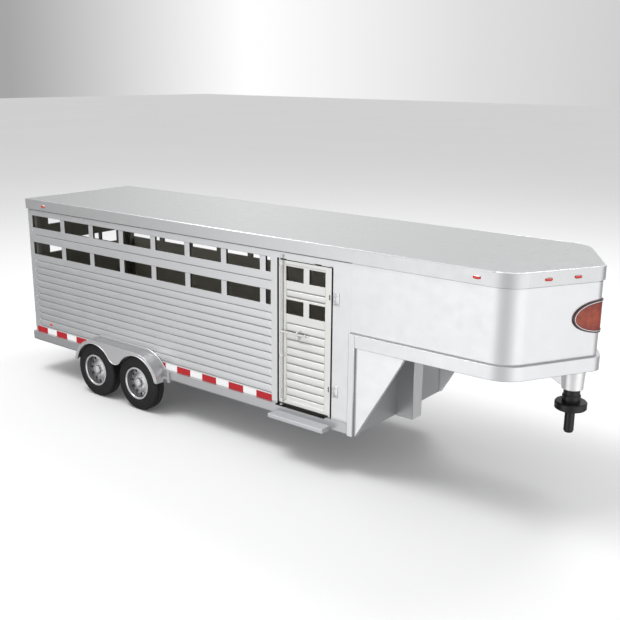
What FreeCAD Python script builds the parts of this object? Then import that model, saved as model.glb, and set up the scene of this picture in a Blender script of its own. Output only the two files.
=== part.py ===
import FreeCAD
import Part
import Sketcher
import os
import re

Vec = FreeCAD.Vector

# Driving dimensions in millimetres. Lengths run forward from the rear edge of the side walls,
# widths run out from the centre line and heights run up from the ground.
SIZES = [
    ("rear_x", -219.0, "rear edge of the side walls, in the model's own frame"),
    ("wall_half", 51.0, "centre line to the outside of a side wall"),
    ("skin", 2.0, "thickness of the moulded walls"),
    ("deck_z", 25.9, "underside of the floor pan"),
    ("sill_z", 32.9, "top of the floor pan, where the walls stand"),
    ("rail_out", 2.0, "how far the rails stand outside the walls"),
    ("rail_thick", 3.0, "thickness of the floor pan's side rails"),
    ("plate", 2.0, "thickness of the floor plates"),
    ("bay_count", 8.0, "hollow bays under the floor"),
    ("rib", 2.0, "thickness of the ribs between the bays"),
    ("eave_z", 132.3, "lower edge of the roof band"),
    ("wall_top", 138.1, "top of the walls, under the roof plate"),
    ("roof_top", 140.1, "top of the roof"),
    ("roof_out", 1.0, "how far the roof band stands outside the walls"),
    ("roof_gap", 0.15, "space between the roof band and the walls"),
    ("seam_tall", 0.8, "height of the seams under the roof band and above the nose rail"),
    ("seam_deep", 0.5, "depth of those seams"),
    ("nose_x", 311.4, "front end of the side walls"),
    ("front_x", 315.7, "front face of the bulkhead and corner posts"),
    ("nose_z", 82.1, "underside of the nose"),
    ("nose_floor_z", 90.0, "top of the nose rail"),
    ("tip_x", 439.6, "where the nose's two slanted faces would meet"),
    ("nose_slope", 0.569, "rearward run of a slanted face per unit of width"),
    ("corner_round", 17.5, "radius of the two nose corners"),
    ("tip_round", 6.0, "radius of the nose's tip"),
    ("first_x", 4.9, "rear end of the first window"),
    ("first_len", 34.8, "length of the first window"),
    ("column_x", 44.6, "rear end of the second window"),
    ("column_len", 28.7, "length of the other windows"),
    ("column_pitch", 33.5, "spacing of the other windows"),
    ("last_len", 4.3, "length of the narrow window beside the door post"),
    ("low_row", 96.8, "sill of the lower windows"),
    ("high_row", 117.8, "sill of the upper windows"),
    ("row_tall", 9.5, "height of a window"),
    ("pillar_sink", 0.3, "how far the pillars between the windows stand back"),
    ("slat_x", 6.0, "rear end of the slats"),
    ("slat_end", 250.4, "front end of the slats beside the door"),
    ("slat_z", 38.3, "height of the lowest slat joint"),
    ("slat_pitch", 5.32, "height of a slat"),
    ("slat_count", 11.0, "slat joints below the windows"),
    ("slat_between", 112.1, "height of the joint between the window rows"),
    ("joint_wide", 1.0, "width of a slat joint at the surface"),
    ("joint_deep", 0.45, "depth of a slat joint"),
    ("doorway_x", 255.3, "rear edge of the side doorway"),
    ("doorway_len", 42.9, "length of the side doorway"),
    ("doorway_top", 127.6, "top of the side doorway"),
    ("door_x", 256.6, "rear edge of the side door"),
    ("door_len", 40.5, "length of the side door"),
    ("door_z", 34.1, "bottom of the side door"),
    ("door_tall", 92.6, "height of the side door"),
    ("door_thick", 2.2, "thickness of the side door"),
    ("pivot_x", 296.2, "side door's pivot, along the trailer"),
    ("pivot_y", 50.0, "side door's pivot, from the centre line"),
    ("pivot_pin", 0.55, "radius of the side door's pivot pins"),
    ("running", 0.05, "radial clearance of a running fit"),
    ("panel_x", 262.1, "rear edge of the door's sunk panel"),
    ("panel_len", 30.4, "length of the door's sunk panel"),
    ("panel_sink", 0.5, "depth of the door's sunk panel"),
    ("door_slat", 5.26, "height of a slat on the side door"),
    ("door_joint", 1.2, "width of a slat joint on the side door"),
    ("pane_len", 13.4, "length of the door's rear panes"),
    ("pane_tall", 9.0, "height of the door's panes"),
    ("pane_low", 93.2, "sill of the door's lower panes"),
    ("pane_high", 114.2, "sill of the door's upper panes"),
    ("rod_x", 259.6, "side door's cam rod, along the trailer"),
    ("rod_gap", 1.1, "cam rod's axis to the face behind it"),
    ("rod_radius", 0.5, "radius of the cam rods"),
    ("hub_radius", 0.8, "radius of the lever's hub"),
    ("lever_z", 81.6, "height of the latch levers"),
    ("lever_len", 18.4, "reach of the latch levers"),
    ("lever_wide", 1.2, "height of the latch levers' bar"),
    ("gate_x", 0.3, "outer face of the rear gate"),
    ("gate_thick", 2.5, "thickness of the rear gate"),
    ("gate_half", 48.6, "half the width of the rear gate"),
    ("gate_z", 33.4, "bottom of the rear gate"),
    ("gate_top", 131.9, "top of the rear gate"),
    ("gate_low_row", 94.8, "sill of the gate's lower openings"),
    ("gate_mid_half", 15.9, "half the width of the gate's middle openings"),
    ("gate_side_y", 18.0, "inner edge of the gate's outer openings"),
    ("gate_side_wide", 17.0, "width of the gate's outer openings"),
    ("gate_rod_y", 46.0, "rear cam rod, from the centre line"),
    ("hinge_x", -1.45, "rear gate's hinge line, along the trailer"),
    ("hinge_y", 50.3, "rear gate's hinge line, from the centre line"),
    ("knuckle", 1.15, "radius of the hinge knuckles"),
    ("hinge_pin", 0.6, "radius of the rear hinge pins"),
    ("knuckle_tall", 3.6, "height of one hinge knuckle"),
    ("knuckle_gap", 0.3, "space between hinge knuckles"),
    ("wheel", 20.1, "radius of the tyres"),
    ("rear_axle_x", 85.7, "rear axle"),
    ("front_axle_x", 131.4, "front axle"),
    ("axle_radius", 1.5, "radius of the axles"),
    ("tyre_in", 51.6, "inner face of the tyres"),
    ("tyre_wide", 9.6, "width of the tyres"),
    ("seat", 11.4, "radius at which tyre and rim meet"),
    ("lip", 11.9, "radius of the rim's lip"),
    ("hand_hole", 1.0, "radius of the holes in the rim"),
    ("hand_hole_ring", 8.8, "radius of the circle of holes in the rim"),
    ("fender_out", 62.0, "outer face of the fenders"),
    ("fender_round", 23.2, "outer radius of the fenders about each wheel"),
    ("fender_skin", 1.2, "thickness of the fenders"),
    ("fender_foot", 25.0, "lower end of the fenders"),
    ("arch", 20.9, "radius of the fender's wheel arches"),
    ("web_z", 29.7, "lowest point of the fender between the wheels"),
    ("flange", 1.4, "height of the fender's flange on the wall"),
    ("collar_top", 6.65, "radius of the coupler tube at the nose"),
    ("collar_low", 5.95, "radius of the coupler tube at its lower end"),
    ("collar_z", 68.7, "lower end of the coupler tube"),
    ("hitch_x", 427.4, "coupler's vertical axis"),
    ("neck", 4.6, "radius of the hitch pin's neck"),
    ("neck_foot", 5.15, "radius of the hitch pin's neck at the disc"),
    ("disc", 8.95, "radius of the hitch pin's disc"),
    ("disc_top", 61.1, "upper face of the hitch pin's disc"),
    ("disc_low", 56.7, "lower face of the hitch pin's disc"),
    ("peg", 2.8, "radius of the hitch pin's peg"),
    ("peg_z", 42.2, "lower end of the hitch pin's peg"),
    ("tape_tall", 4.3, "height of the reflective tape"),
    ("tape_red", 13.2, "length of a red block"),
    ("tape_white", 11.5, "length of a white block"),
    ("tape_thick", 0.15, "thickness of the tape"),
    ("badge_y", 16.7, "half width of the oval badge"),
    ("badge_tall", 9.2, "half height of the oval badge"),
    ("badge_z", 112.6, "height of the badge's centre"),
    ("badge_rim", 1.3, "width of the badge's rim"),
    ("lens_long", 4.5, "length of a marker lens"),
    ("lens_tall", 1.9, "height of a marker lens"),
    ("lens_thick", 0.9, "thickness of a marker lens"),
    ("step_out", 61.2, "outer edge of the entry step"),
    ("step_deep", 8.2, "depth of the entry step"),
    ("step_long", 43.5, "length of the entry step"),
    ("step_tall", 2.9, "thickness of the entry step"),
]
NAMES = {alias for alias, _, _ in SIZES}
RIGHT = -1
LEFT = 1

doc = FreeCAD.newDocument("stock_trailer")
sheet = doc.addObject("Spreadsheet::Sheet", "Dims")
for line, (alias, amount, meaning) in enumerate(SIZES, start=1):
    sheet.set("A%d" % line, meaning)
    sheet.set("B%d" % line, str(amount))
    sheet.setAlias("B%d" % line, alias)
doc.recompute()

nodes = []


# ---------------------------------------------------------------- helpers

def bound(text):
    """The expression with each dimension's name pointed at the sheet."""
    return re.sub(r"[a-z_]+", lambda m: "Dims." + m.group() if m.group() in NAMES else m.group(), text)


def size(text):
    """A dimension's number, or minus it, for the few places that can't take an expression."""
    alias = text.lstrip("-")
    amount = float(sheet.get(alias)) if alias in NAMES else float(alias)
    return -amount if text.startswith("-") else amount


def bind(item, **texts):
    for name, text in texts.items():
        item.setExpression(name, bound(text))


def put(item, x, y, z):
    """Place an item, with x measured from the rear edge of the side walls."""
    item.setExpression("Placement.Base.x", bound("rear_x + (" + x + ")"))
    item.setExpression("Placement.Base.y", bound(y))
    item.setExpression("Placement.Base.z", bound(z))
    return item


def keep(item):
    """Mark an item as a finished sub-part, exported under its label."""
    nodes.append(item)
    return item


def box(name, x, y, z, length, width, height):
    item = doc.addObject("Part::Box", name)
    bind(item, Length=length, Width=width, Height=height)
    return put(item, x, y, z)


def side_box(name, side, x, inner, z, length, width, height):
    """A box that starts at the distance inner from the centre line, on one side of the trailer."""
    y = inner if side == LEFT else "-(" + inner + ") - (" + width + ")"
    return box(name, x, y, z, length, width, height)


TURNS = {
    "x": FreeCAD.Rotation(Vec(0, 1, 0), 90),
    "y": FreeCAD.Rotation(Vec(1, 0, 0), -90),
    "z": FreeCAD.Rotation(),
}


def rod(name, axis, x, y, z, radius, length):
    """A cylinder that starts at a point and runs along +X, +Y or +Z."""
    item = doc.addObject("Part::Cylinder", name)
    bind(item, Radius=radius, Height=length)
    item.Placement = FreeCAD.Placement(Vec(), TURNS[axis])
    return put(item, x, y, z)


def join(name, items):
    item = doc.addObject("Part::MultiFuse", name)
    item.Shapes = items
    return item


def group(name, items):
    """Several separate solids in one node."""
    item = doc.addObject("Part::Compound", name)
    item.Links = items
    return item


def cut(name, base, tools):
    item = doc.addObject("Part::Cut", name)
    item.Base = base
    item.Tool = tools[0] if len(tools) == 1 else join(name + "_tools", tools)
    return item


def overlap(name, first, second):
    item = doc.addObject("Part::Common", name)
    item.Base = first
    item.Tool = second
    return item


def rounded(name, base, radius, wanted):
    """Round the edges for which wanted(edge) is true."""
    doc.recompute()
    item = doc.addObject("Part::Fillet", name)
    item.Base = base
    numbers = [n for n, edge in enumerate(base.Shape.Edges, start=1) if wanted(edge)]
    item.Edges = [(n, radius, radius) for n in numbers]
    return item


def at(edge, axis, amount):
    """True where a whole edge lies at one coordinate."""
    lowest = getattr(edge.BoundBox, axis.upper() + "Min")
    highest = getattr(edge.BoundBox, axis.upper() + "Max")
    return abs(lowest - amount) < 0.01 and abs(highest - amount) < 0.01


def new_body(name):
    return doc.addObject("PartDesign::Body", name)


def new_sketch(body, name, plane, lift, local=False):
    """A sketch on one of the body's origin planes, moved along the plane's normal by lift."""
    item = body.newObject("Sketcher::SketchObject", body.Name + "_" + name)
    origin = next(o for o in body.Origin.OriginFeatures if o.Role == plane + "_Plane")
    item.AttachmentSupport = [(origin, "")]
    item.MapMode = "FlatFace"
    shift = "0" if local else "rear_x"
    if plane == "YZ":
        lift = shift + " + " + lift
    else:
        item.setExpression("AttachmentOffset.Base.x", bound(shift))
    item.setExpression("AttachmentOffset.Base.z", bound(lift))
    return item


def fix(sketch, kind, geometry, point, text, start):
    """Tie one coordinate of a sketch point to an expression."""
    number = sketch.addConstraint(Sketcher.Constraint(kind, -1, 1, geometry, point, float(start)))
    sketch.setExpression("Constraints[%d]" % number, bound(text))


def outline(sketch, points):
    """A closed polygon, every corner tied to a pair of expressions."""
    first = sketch.GeometryCount
    count = len(points)
    turn = FreeCAD.Rotation(Vec(0, 0, 1), 360.0 / count)
    corners = [Vec(10, 0, 0)]
    while len(corners) < count:
        corners.append(turn.multVec(corners[-1]))
    for n in range(count):
        sketch.addGeometry(Part.LineSegment(corners[n], corners[(n + 1) % count]), False)
    for n in range(count):
        following = first + (n + 1) % count
        sketch.addConstraint(Sketcher.Constraint("Coincident", first + n, 2, following, 1))
    for n, (across, up) in enumerate(points):
        fix(sketch, "DistanceX", first + n, 1, across, corners[n].x)
        fix(sketch, "DistanceY", first + n, 1, up, corners[n].y)


def rectangle(sketch, x, z, length, height):
    far_x = x + " + " + length
    far_z = z + " + " + height
    outline(sketch, [(x, z), (far_x, z), (far_x, far_z), (x, far_z)])


def circle(sketch, x, y, radius):
    number = sketch.addGeometry(Part.Circle(Vec(1, 1, 0), Vec(0, 0, 1), 1.0), False)
    fix(sketch, "DistanceX", number, 3, x, 1)
    fix(sketch, "DistanceY", number, 3, y, 1)
    limit = sketch.addConstraint(Sketcher.Constraint("Radius", number, 1.0))
    sketch.setExpression("Constraints[%d]" % limit, bound(radius))


def pad(body, sketch, length, flip=False):
    item = body.newObject("PartDesign::Pad", sketch.Name + "_pad")
    item.Profile = sketch
    item.Reversed = flip
    bind(item, Length=length)
    return item


def pocket(body, sketch, depth, flip=False, taper=0.0):
    item = body.newObject("PartDesign::Pocket", sketch.Name + "_pocket")
    item.Profile = sketch
    item.Reversed = flip
    item.TaperAngle = -taper
    bind(item, Length=depth)
    return item


def repeat(body, feature, sketch, axis, span, count):
    """Repeat a feature along a sketch's own H_Axis or V_Axis."""
    item = body.newObject("PartDesign::LinearPattern", feature.Name + "_row")
    item.Originals = [feature]
    item.Direction = (sketch, [axis])
    bind(item, Length=span)
    item.Occurrences = int(count)
    body.Tip = item
    return item


def repeat_round(body, feature, sketch, count):
    """Repeat a feature in a full circle about the normal of a sketch."""
    item = body.newObject("PartDesign::PolarPattern", feature.Name + "_ring")
    item.Originals = [feature]
    item.Axis = (sketch, ["N_Axis"])
    item.Angle = 360
    item.Occurrences = count
    body.Tip = item
    return item


def revolve(body, sketch):
    item = body.newObject("PartDesign::Revolution", sketch.Name + "_turned")
    item.Profile = sketch
    item.ReferenceAxis = (sketch, ["V_Axis"])
    item.Angle = 360
    return item


def slat_joints(body, name, plane, lift, flip, start, length):
    """Tapered grooves that part the slats, one above another."""
    low = new_sketch(body, name, plane, lift)
    rectangle(low, start, "slat_z - joint_wide / 2", length, "joint_wide")
    groove = pocket(body, low, "joint_deep", flip, 35)
    repeat(body, groove, low, "V_Axis", "slat_pitch * (slat_count - 1)", size("slat_count"))
    middle = new_sketch(body, name + "_between", plane, lift)
    rectangle(middle, start, "slat_between - joint_wide / 2", length, "joint_wide")
    pocket(body, middle, "joint_deep", flip, 35)


# ---------------------------------------------------------------- body shell

def nose_block(name, grow, back, z, height):
    """The trailer's plan as a block: straight sides, slanted nose faces and rounded corners.

    grow moves the whole outline outward from the walls' outer face, and back is its rear end.
    """
    plan = doc.addObject("Sketcher::SketchObject", name + "_plan")
    half = "(wall_half + (" + grow + "))"
    tip = "(rear_x + tip_x + (" + grow + ") * sqrt(1 + nose_slope ^ 2))"
    corner = tip + " - nose_slope * " + half
    rear = "rear_x + (" + back + ")"
    outline(plan, [(rear, "-" + half), (corner, "-" + half), (tip, "0"), (corner, half), (rear, half)])
    bind(plan, **{"Placement.Base.z": z})
    block = doc.addObject("Part::Extrusion", name + "_block")
    block.Base = plan
    block.DirMode = "Custom"
    block.Dir = Vec(0, 0, 1)
    block.Solid = True
    bind(block, LengthFwd=height)
    doc.recompute()
    offset = size(grow)
    ends = sorted({round(v.X, 3) for v in block.Shape.Vertexes})
    item = doc.addObject("Part::Fillet", name)
    item.Base = block
    radii = {ends[-1]: size("tip_round") + offset, ends[-2]: size("corner_round") + offset}
    item.Edges = [
        (n, radii[round(edge.CenterOfMass.x, 3)], radii[round(edge.CenterOfMass.x, 3)])
        for n, edge in enumerate(block.Shape.Edges, start=1)
        if edge.BoundBox.ZLength > 0.1 and round(edge.CenterOfMass.x, 3) in radii
    ]
    return item


def floor_pan():
    """One moulding: floor plate, rounded side rails and ribs, hollow from below."""
    blank = box("floor_blank", "-rail_out", "-wall_half - rail_out", "deck_z",
                "nose_x + rail_out", "2 * (wall_half + rail_out)", "sill_z - deck_z")
    deck = size("deck_z")
    rear = size("rear_x") - size("rail_out")
    side = size("wall_half") + size("rail_out")
    smooth = rounded("floor_smooth", blank, 1.4, lambda e: (
        (at(e, "z", deck) and not at(e, "x", size("rear_x") + size("nose_x")))
        or (at(e, "x", rear) and at(e, "y", e.CenterOfMass.y) and abs(e.CenterOfMass.y) > side - 1)))
    holes = []
    pitch = "((nose_x - rib) / bay_count)"
    for n in range(int(size("bay_count"))):
        holes.append(box("floor_bay_%d" % n, "rib + %d * %s" % (n, pitch),
                         "-wall_half - rail_out + rail_thick", "deck_z", pitch + " - rib",
                         "2 * (wall_half + rail_out - rail_thick)", "sill_z - deck_z - plate"))
    for side_name, side in (("right", RIGHT), ("left", LEFT)):
        holes.append(wheel_space("floor_notch_" + side_name, side, "fender_round - fender_skin",
                                 "tyre_in - 0.3", "3"))
    holes.append(rod("sill_bore", "z", "pivot_x", "-pivot_y", "sill_z - 1.8",
                     "pivot_pin + running", "3"))
    threshold = "pivot_x - doorway_x - 1.6"
    holes.append(box("threshold_lip", "doorway_x", "-wall_half - rail_out - 1", "sill_z - 0.8",
                     threshold, "rail_out + 2.8", "2"))
    holes.append(box("threshold_slot", "doorway_x", "-wall_half - rail_out + 0.7", "sill_z - 1.7",
                     threshold, "rail_out + 1.1", "2"))
    keep(cut("floor_pan", smooth, holes))


def side_panel(name, side, columns):
    """A moulded wall with two rows of windows and ribbed slats; the right one has a doorway."""
    body = new_body(name)
    flip = side == LEFT
    face = "wall_half" if side == RIGHT else "-wall_half"
    start = "wall_half - skin" if side == RIGHT else "-wall_half"
    sheet_plan = new_sketch(body, "sheet", "XZ", start)
    rectangle(sheet_plan, "0", "sill_z", "nose_x", "wall_top - sill_z")
    pad(body, sheet_plan, "skin")
    pillars = new_sketch(body, "pillars", "XZ", face)
    row_end = "column_x + %d * column_pitch + " % columns
    row_end += "last_len" if side == RIGHT else "column_len - column_pitch"
    for row in ("low_row", "high_row"):
        rectangle(pillars, "first_x", row, row_end + " - first_x", "row_tall")
    pocket(body, pillars, "pillar_sink", flip)
    ends = new_sketch(body, "ends", "XZ", face)
    for row in ("low_row", "high_row"):
        rectangle(ends, "first_x", row, "first_len", "row_tall")
        if side == RIGHT:
            rectangle(ends, "column_x + %d * column_pitch" % columns, row, "last_len", "row_tall")
    pocket(body, ends, "2 * skin", flip)
    window = new_sketch(body, "window", "XZ", face)
    for row in ("low_row", "high_row"):
        rectangle(window, "column_x", row, "column_len", "row_tall")
    opening = pocket(body, window, "2 * skin", flip)
    repeat(body, opening, window, "H_Axis", "column_pitch * %d" % (columns - 1), columns)
    seam = new_sketch(body, "seam", "XZ", face)
    rectangle(seam, "0", "eave_z - seam_tall", "nose_x", "seam_tall + 0.3")
    pocket(body, seam, "seam_deep", flip)
    if side == RIGHT:
        doorway = new_sketch(body, "doorway", "XZ", face)
        rectangle(doorway, "doorway_x", "sill_z - 1", "doorway_len", "doorway_top - sill_z + 1")
        pocket(body, doorway, "2 * skin")
        bore = new_sketch(body, "bore", "XY", "doorway_top")
        circle(bore, "pivot_x", "-pivot_y", "pivot_pin + running")
        pocket(body, bore, "2.4", True)
        slat_joints(body, "joints", "XZ", face, flip, "slat_x", "slat_end - slat_x")
    else:
        slat_joints(body, "joints", "XZ", face, flip, "slat_x", "nose_x - 2.5 * slat_x")
    keep(body)


def nose_seam(name, z, height):
    """The ring that a seam takes out of the nose's outer face."""
    outside = nose_block(name + "_outside", "skin", "nose_x - 1", z, height)
    inside = nose_block(name + "_inside", "-seam_deep", "nose_x - 2", z, height)
    return cut(name, outside, [inside])


def nose_shell():
    """The V-shaped front of the body, open above and below."""
    outer = nose_block("nose_outer", "0", "nose_x", "nose_floor_z", "wall_top - nose_floor_z")
    inner = nose_block("nose_inner", "-skin", "nose_x - 1", "nose_floor_z - 1",
                       "wall_top - nose_floor_z + 2")
    seams = [nose_seam("nose_seam_top", "eave_z - seam_tall", "seam_tall + 0.3"),
             nose_seam("nose_seam_low", "nose_floor_z - 0.1", "seam_tall")]
    keep(cut("nose_shell", outer, [inner] + seams))


def nose_pan():
    """The nose's floor, with the rail that stands round it."""
    outer = nose_block("nose_rail_outer", "rail_out", "front_x", "nose_z", "nose_floor_z - nose_z")
    inner = nose_block("nose_rail_inner", "-skin", "front_x - 1", "nose_z + plate", "nose_floor_z - nose_z")
    keep(cut("nose_pan", outer, [inner]))


def roof():
    """A shallow lid whose band hangs over the tops of the walls."""
    outer = nose_block("roof_outer", "roof_out", "-roof_out", "eave_z", "roof_top - eave_z")
    inner = nose_block("roof_inner", "roof_gap", "-roof_gap", "eave_z - 1", "wall_top - eave_z + 1")
    lid = cut("roof_lid", outer, [inner])
    keep(rounded("roof", lid, 0.7, lambda e: at(e, "z", size("roof_top"))))


def front_frame():
    """Corner posts, bulkhead, jack column and the two gussets under the nose."""
    for name, side in (("right", RIGHT), ("left", LEFT)):
        keep(side_box("corner_post_" + name, side, "nose_x", "wall_half - 3", "deck_z",
                      "front_x - nose_x", "rail_out + 3", "nose_floor_z - deck_z"))
        gusset = new_body("gusset_" + name)
        lift = "wall_half + 0.4 - skin" if side == RIGHT else "-wall_half - 0.4"
        plan = new_sketch(gusset, "plan", "XZ", lift)
        outline(plan, [("front_x", "deck_z + 0.4"), ("front_x + 1.4", "deck_z + 0.4"),
                       ("front_x + 34", "nose_z"), ("front_x", "nose_z")])
        pad(gusset, plan, "skin")
        keep(gusset)
    keep(box("front_bulkhead", "nose_x", "-wall_half + 3", "deck_z",
             "front_x - nose_x", "2 * (wall_half - 3)", "nose_z + plate - deck_z"))
    column = box("jack_blank", "front_x", "-5.1", "deck_z - 0.4", "12.7", "10.2", "nose_z - deck_z + 0.4")
    hollow = box("jack_hollow", "front_x + 1.6", "-3.5", "deck_z - 2", "9.5", "7", "nose_z - deck_z - 4")
    keep(cut("jack_column", column, [hollow]))


def rear_frame():
    """Posts and header that the rear gate closes against."""
    for name, side in (("right", RIGHT), ("left", LEFT)):
        keep(side_box("rear_post_" + name, side, "gate_x + gate_thick + 0.3", "wall_half - skin - 4.5",
                      "sill_z", "4", "4.5", "wall_top - sill_z"))
    keep(box("rear_header", "gate_x + gate_thick + 0.3", "-wall_half + skin + 4.5", "eave_z",
             "4", "2 * (wall_half - skin - 4.5)", "wall_top - eave_z"))


# ---------------------------------------------------------------- running gear

def wheel_space(name, side, radius, inner, depth):
    """The round-ended space about a pair of wheels, seen from the side."""
    y = inner if side == LEFT else "-(" + inner + ") - (" + depth + ")"
    return join(name, [
        rod(name + "_rear", "y", "rear_axle_x", y, "wheel", radius, depth),
        rod(name + "_front", "y", "front_axle_x", y, "wheel", radius, depth),
        box(name + "_top", "rear_axle_x", y, "wheel", "front_axle_x - rear_axle_x", depth, radius),
    ])


def fender(name, side):
    """A double fender: curved top, thin arched face, wall flange and a small mounting tab."""
    wall = "wall_half"
    depth = "fender_out - wall_half"
    outside = wheel_space(name + "_outside", side, "fender_round", wall, depth)
    inside = wheel_space(name + "_inside", side, "fender_round - fender_skin", wall + " - 1",
                         depth + " - fender_skin + 1")
    y = "-fender_out - 1" if side == RIGHT else wall + " - 1"
    width = depth + " + 2"
    length = "front_axle_x - rear_axle_x + 60"
    below = box(name + "_below", "rear_axle_x - 30", y, "fender_foot - 60", length, width, "60")
    arches = [rod(name + "_arch_" + axle, "y", axle + "_axle_x", y, "wheel", "arch", width)
              for axle in ("rear", "front")]
    gap = "(front_axle_x - rear_axle_x) / 2"
    rise = "(web_z - wheel)"
    web_round = "(((%s) ^ 2 + %s ^ 2 - arch ^ 2) / (2 * (arch - %s)) + 0.3)" % (gap, rise, rise)
    middle = "rear_axle_x + " + gap
    under = box(name + "_under", middle + " - 7", y, "fender_foot - 1", "14", width,
                "web_z - fender_foot + 4.1")
    round_end = rod(name + "_round_end", "y", middle, y, "web_z + " + web_round, web_round, width)
    trim = cut(name + "_trim", under, [round_end])
    hollow = cut(name + "_hollow", outside, [inside])
    shell = cut(name + "_shell", cut(name + "_arched", hollow, arches), [trim, below])
    flange = wheel_space(name + "_flange_out", side, "fender_round + flange", wall, "0.9")
    flange_gap = wheel_space(name + "_flange_in", side, "fender_round - fender_skin", wall + " - 1", "3")
    foot_line = box(name + "_flange_below", "rear_axle_x - 30", y, "sill_z - 60", length, width, "60")
    rim = cut(name + "_flange", flange, [flange_gap, foot_line])
    tab = side_box(name + "_tab", side, "front_axle_x + 24.6", "wall_half + rail_out", "deck_z - 1.2",
                   "2.2", "1.2", "sill_z - deck_z + 0.8")
    bracket = side_box(name + "_bracket", side, "front_axle_x + 21.4", "wall_half + rail_out",
                       "deck_z + 1", "3.4", "1.2", "1.8")
    rail = side_box(name + "_rail", side, "rear_axle_x - 30", "wall_half - 1", "deck_z",
                    length, "rail_out + 1", "sill_z - deck_z")
    strip = side_box(name + "_strip", side, "rear_axle_x - 30", "wall_half - 1", "sill_z - 1",
                     length, "1 + tape_thick", "tape_tall + 1.2")
    fitted = cut(name + "_fitted", join(name + "_arch", [shell, rim]), [rail, strip])
    keep(join(name, [fitted, tab, bracket]))


def axle_carrier(name, side):
    """A hanger plate under the floor with a bearing bore for each axle."""
    inner = "38"
    y = inner if side == LEFT else "-" + inner + " - 3"
    plate = box(name + "_plate", "rear_axle_x - 7", y, "wheel + 1", "front_axle_x - rear_axle_x + 14",
                "3", "deck_z - wheel - 1")
    bosses = [rod(name + "_boss_" + axle, "y", axle + "_axle_x", y, "wheel", "4.6", "3")
              for axle in ("rear", "front")]
    bores = [rod(name + "_bore_" + axle, "y", axle + "_axle_x", y + " - 1", "wheel",
                 "axle_radius + running", "5") for axle in ("rear", "front")]
    keep(cut(name, join(name + "_blank", [plate] + bosses), bores))


def seat_wheel(body, axle, side):
    """Put a turned wheel piece on its axle, inner face towards the trailer."""
    if side == RIGHT:
        body.Placement = FreeCAD.Placement(Vec(), FreeCAD.Rotation(Vec(0, 0, 1), 180))
    y = "-tyre_in" if side == RIGHT else "tyre_in"
    put(body, axle + "_axle_x", y, "wheel")


def tyre(name, axle, side):
    """A tyre with rounded shoulders, a raised sidewall ring and two tread channels."""
    body = new_body(name)
    section = new_sketch(body, "section", "XY", "0", True)
    tread = []
    for start in ("tyre_wide / 2 + 1.2", "tyre_wide / 2 - 2.1"):
        end = start + " + 0.9"
        tread += [("wheel", end), ("wheel - 0.5", end), ("wheel - 0.5", start), ("wheel", start)]
    outline(section, [
        ("seat", "0.9"), ("seat", "tyre_wide - 0.9"), ("lip", "tyre_wide - 0.8"),
        ("lip", "tyre_wide - 0.4"), ("seat + 1.2", "tyre_wide - 0.3"),
        ("seat + 2.2", "tyre_wide"), ("seat + 5.2", "tyre_wide"), ("wheel - 0.9", "tyre_wide - 0.9"),
        ("wheel", "tyre_wide - 2"),
    ] + tread + [
        ("wheel", "2"), ("wheel - 0.9", "0.9"), ("seat + 5.2", "0"), ("seat + 2.2", "0"),
        ("seat + 1.2", "0.3"),
    ])
    revolve(body, section)
    seat_wheel(body, axle, side)
    keep(body)


def rim(name, axle, side):
    """A dished steel wheel: lip, barrel, disc with twelve hand holes, domed hub and wheel nuts."""
    body = new_body(name)
    section = new_sketch(body, "section", "XY", "0", True)
    outline(section, [
        ("axle_radius", "0.9"), ("3.4", "0.9"), ("3.4", "4.6"), ("10.2", "4.6"), ("10.2", "0.9"),
        ("seat", "0.9"), ("seat", "tyre_wide - 0.9"), ("lip", "tyre_wide - 0.8"),
        ("lip", "tyre_wide - 0.1"), ("lip - 0.3", "tyre_wide + 0.1"), ("10.8", "tyre_wide + 0.1"),
        ("10.4", "tyre_wide - 0.4"),
        ("10.0", "6.0"), ("9.9", "5.3"), ("7.6", "5.5"), ("5.2", "6.6"), ("3.6", "6.8"), ("3.2", "8.3"),
        ("2.4", "9.0"), ("0", "9.2"), ("0", "7.2"), ("axle_radius", "7.2"),
    ])
    revolve(body, section)
    hole_plan = new_sketch(body, "hole", "XZ", "-tyre_wide", True)
    circle(hole_plan, "hand_hole_ring", "0", "hand_hole")
    hole = pocket(body, hole_plan, "tyre_wide - 1", True)
    repeat_round(body, hole, hole_plan, 12)
    nut_plan = new_sketch(body, "nut", "XZ", "-5.4", True)
    circle(nut_plan, "4.5", "0", "0.55")
    nut = pad(body, nut_plan, "1.8", True)
    repeat_round(body, nut, nut_plan, 6)
    seat_wheel(body, axle, side)
    keep(body)


def running_gear():
    for side_name, side in (("right", RIGHT), ("left", LEFT)):
        fender("fender_" + side_name, side)
        axle_carrier("axle_carrier_" + side_name, side)
    for axle in ("front", "rear"):
        keep(rod("axle_" + axle, "y", axle + "_axle_x", "-tyre_in - 7.2", "wheel", "axle_radius",
                 "2 * tyre_in + 14.4"))
        for side_name, side in (("right", RIGHT), ("left", LEFT)):
            tyre("tyre_%s_%s" % (axle, side_name), axle, side)
            rim("rim_%s_%s" % (axle, side_name), axle, side)


# ---------------------------------------------------------------- coupler

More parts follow.
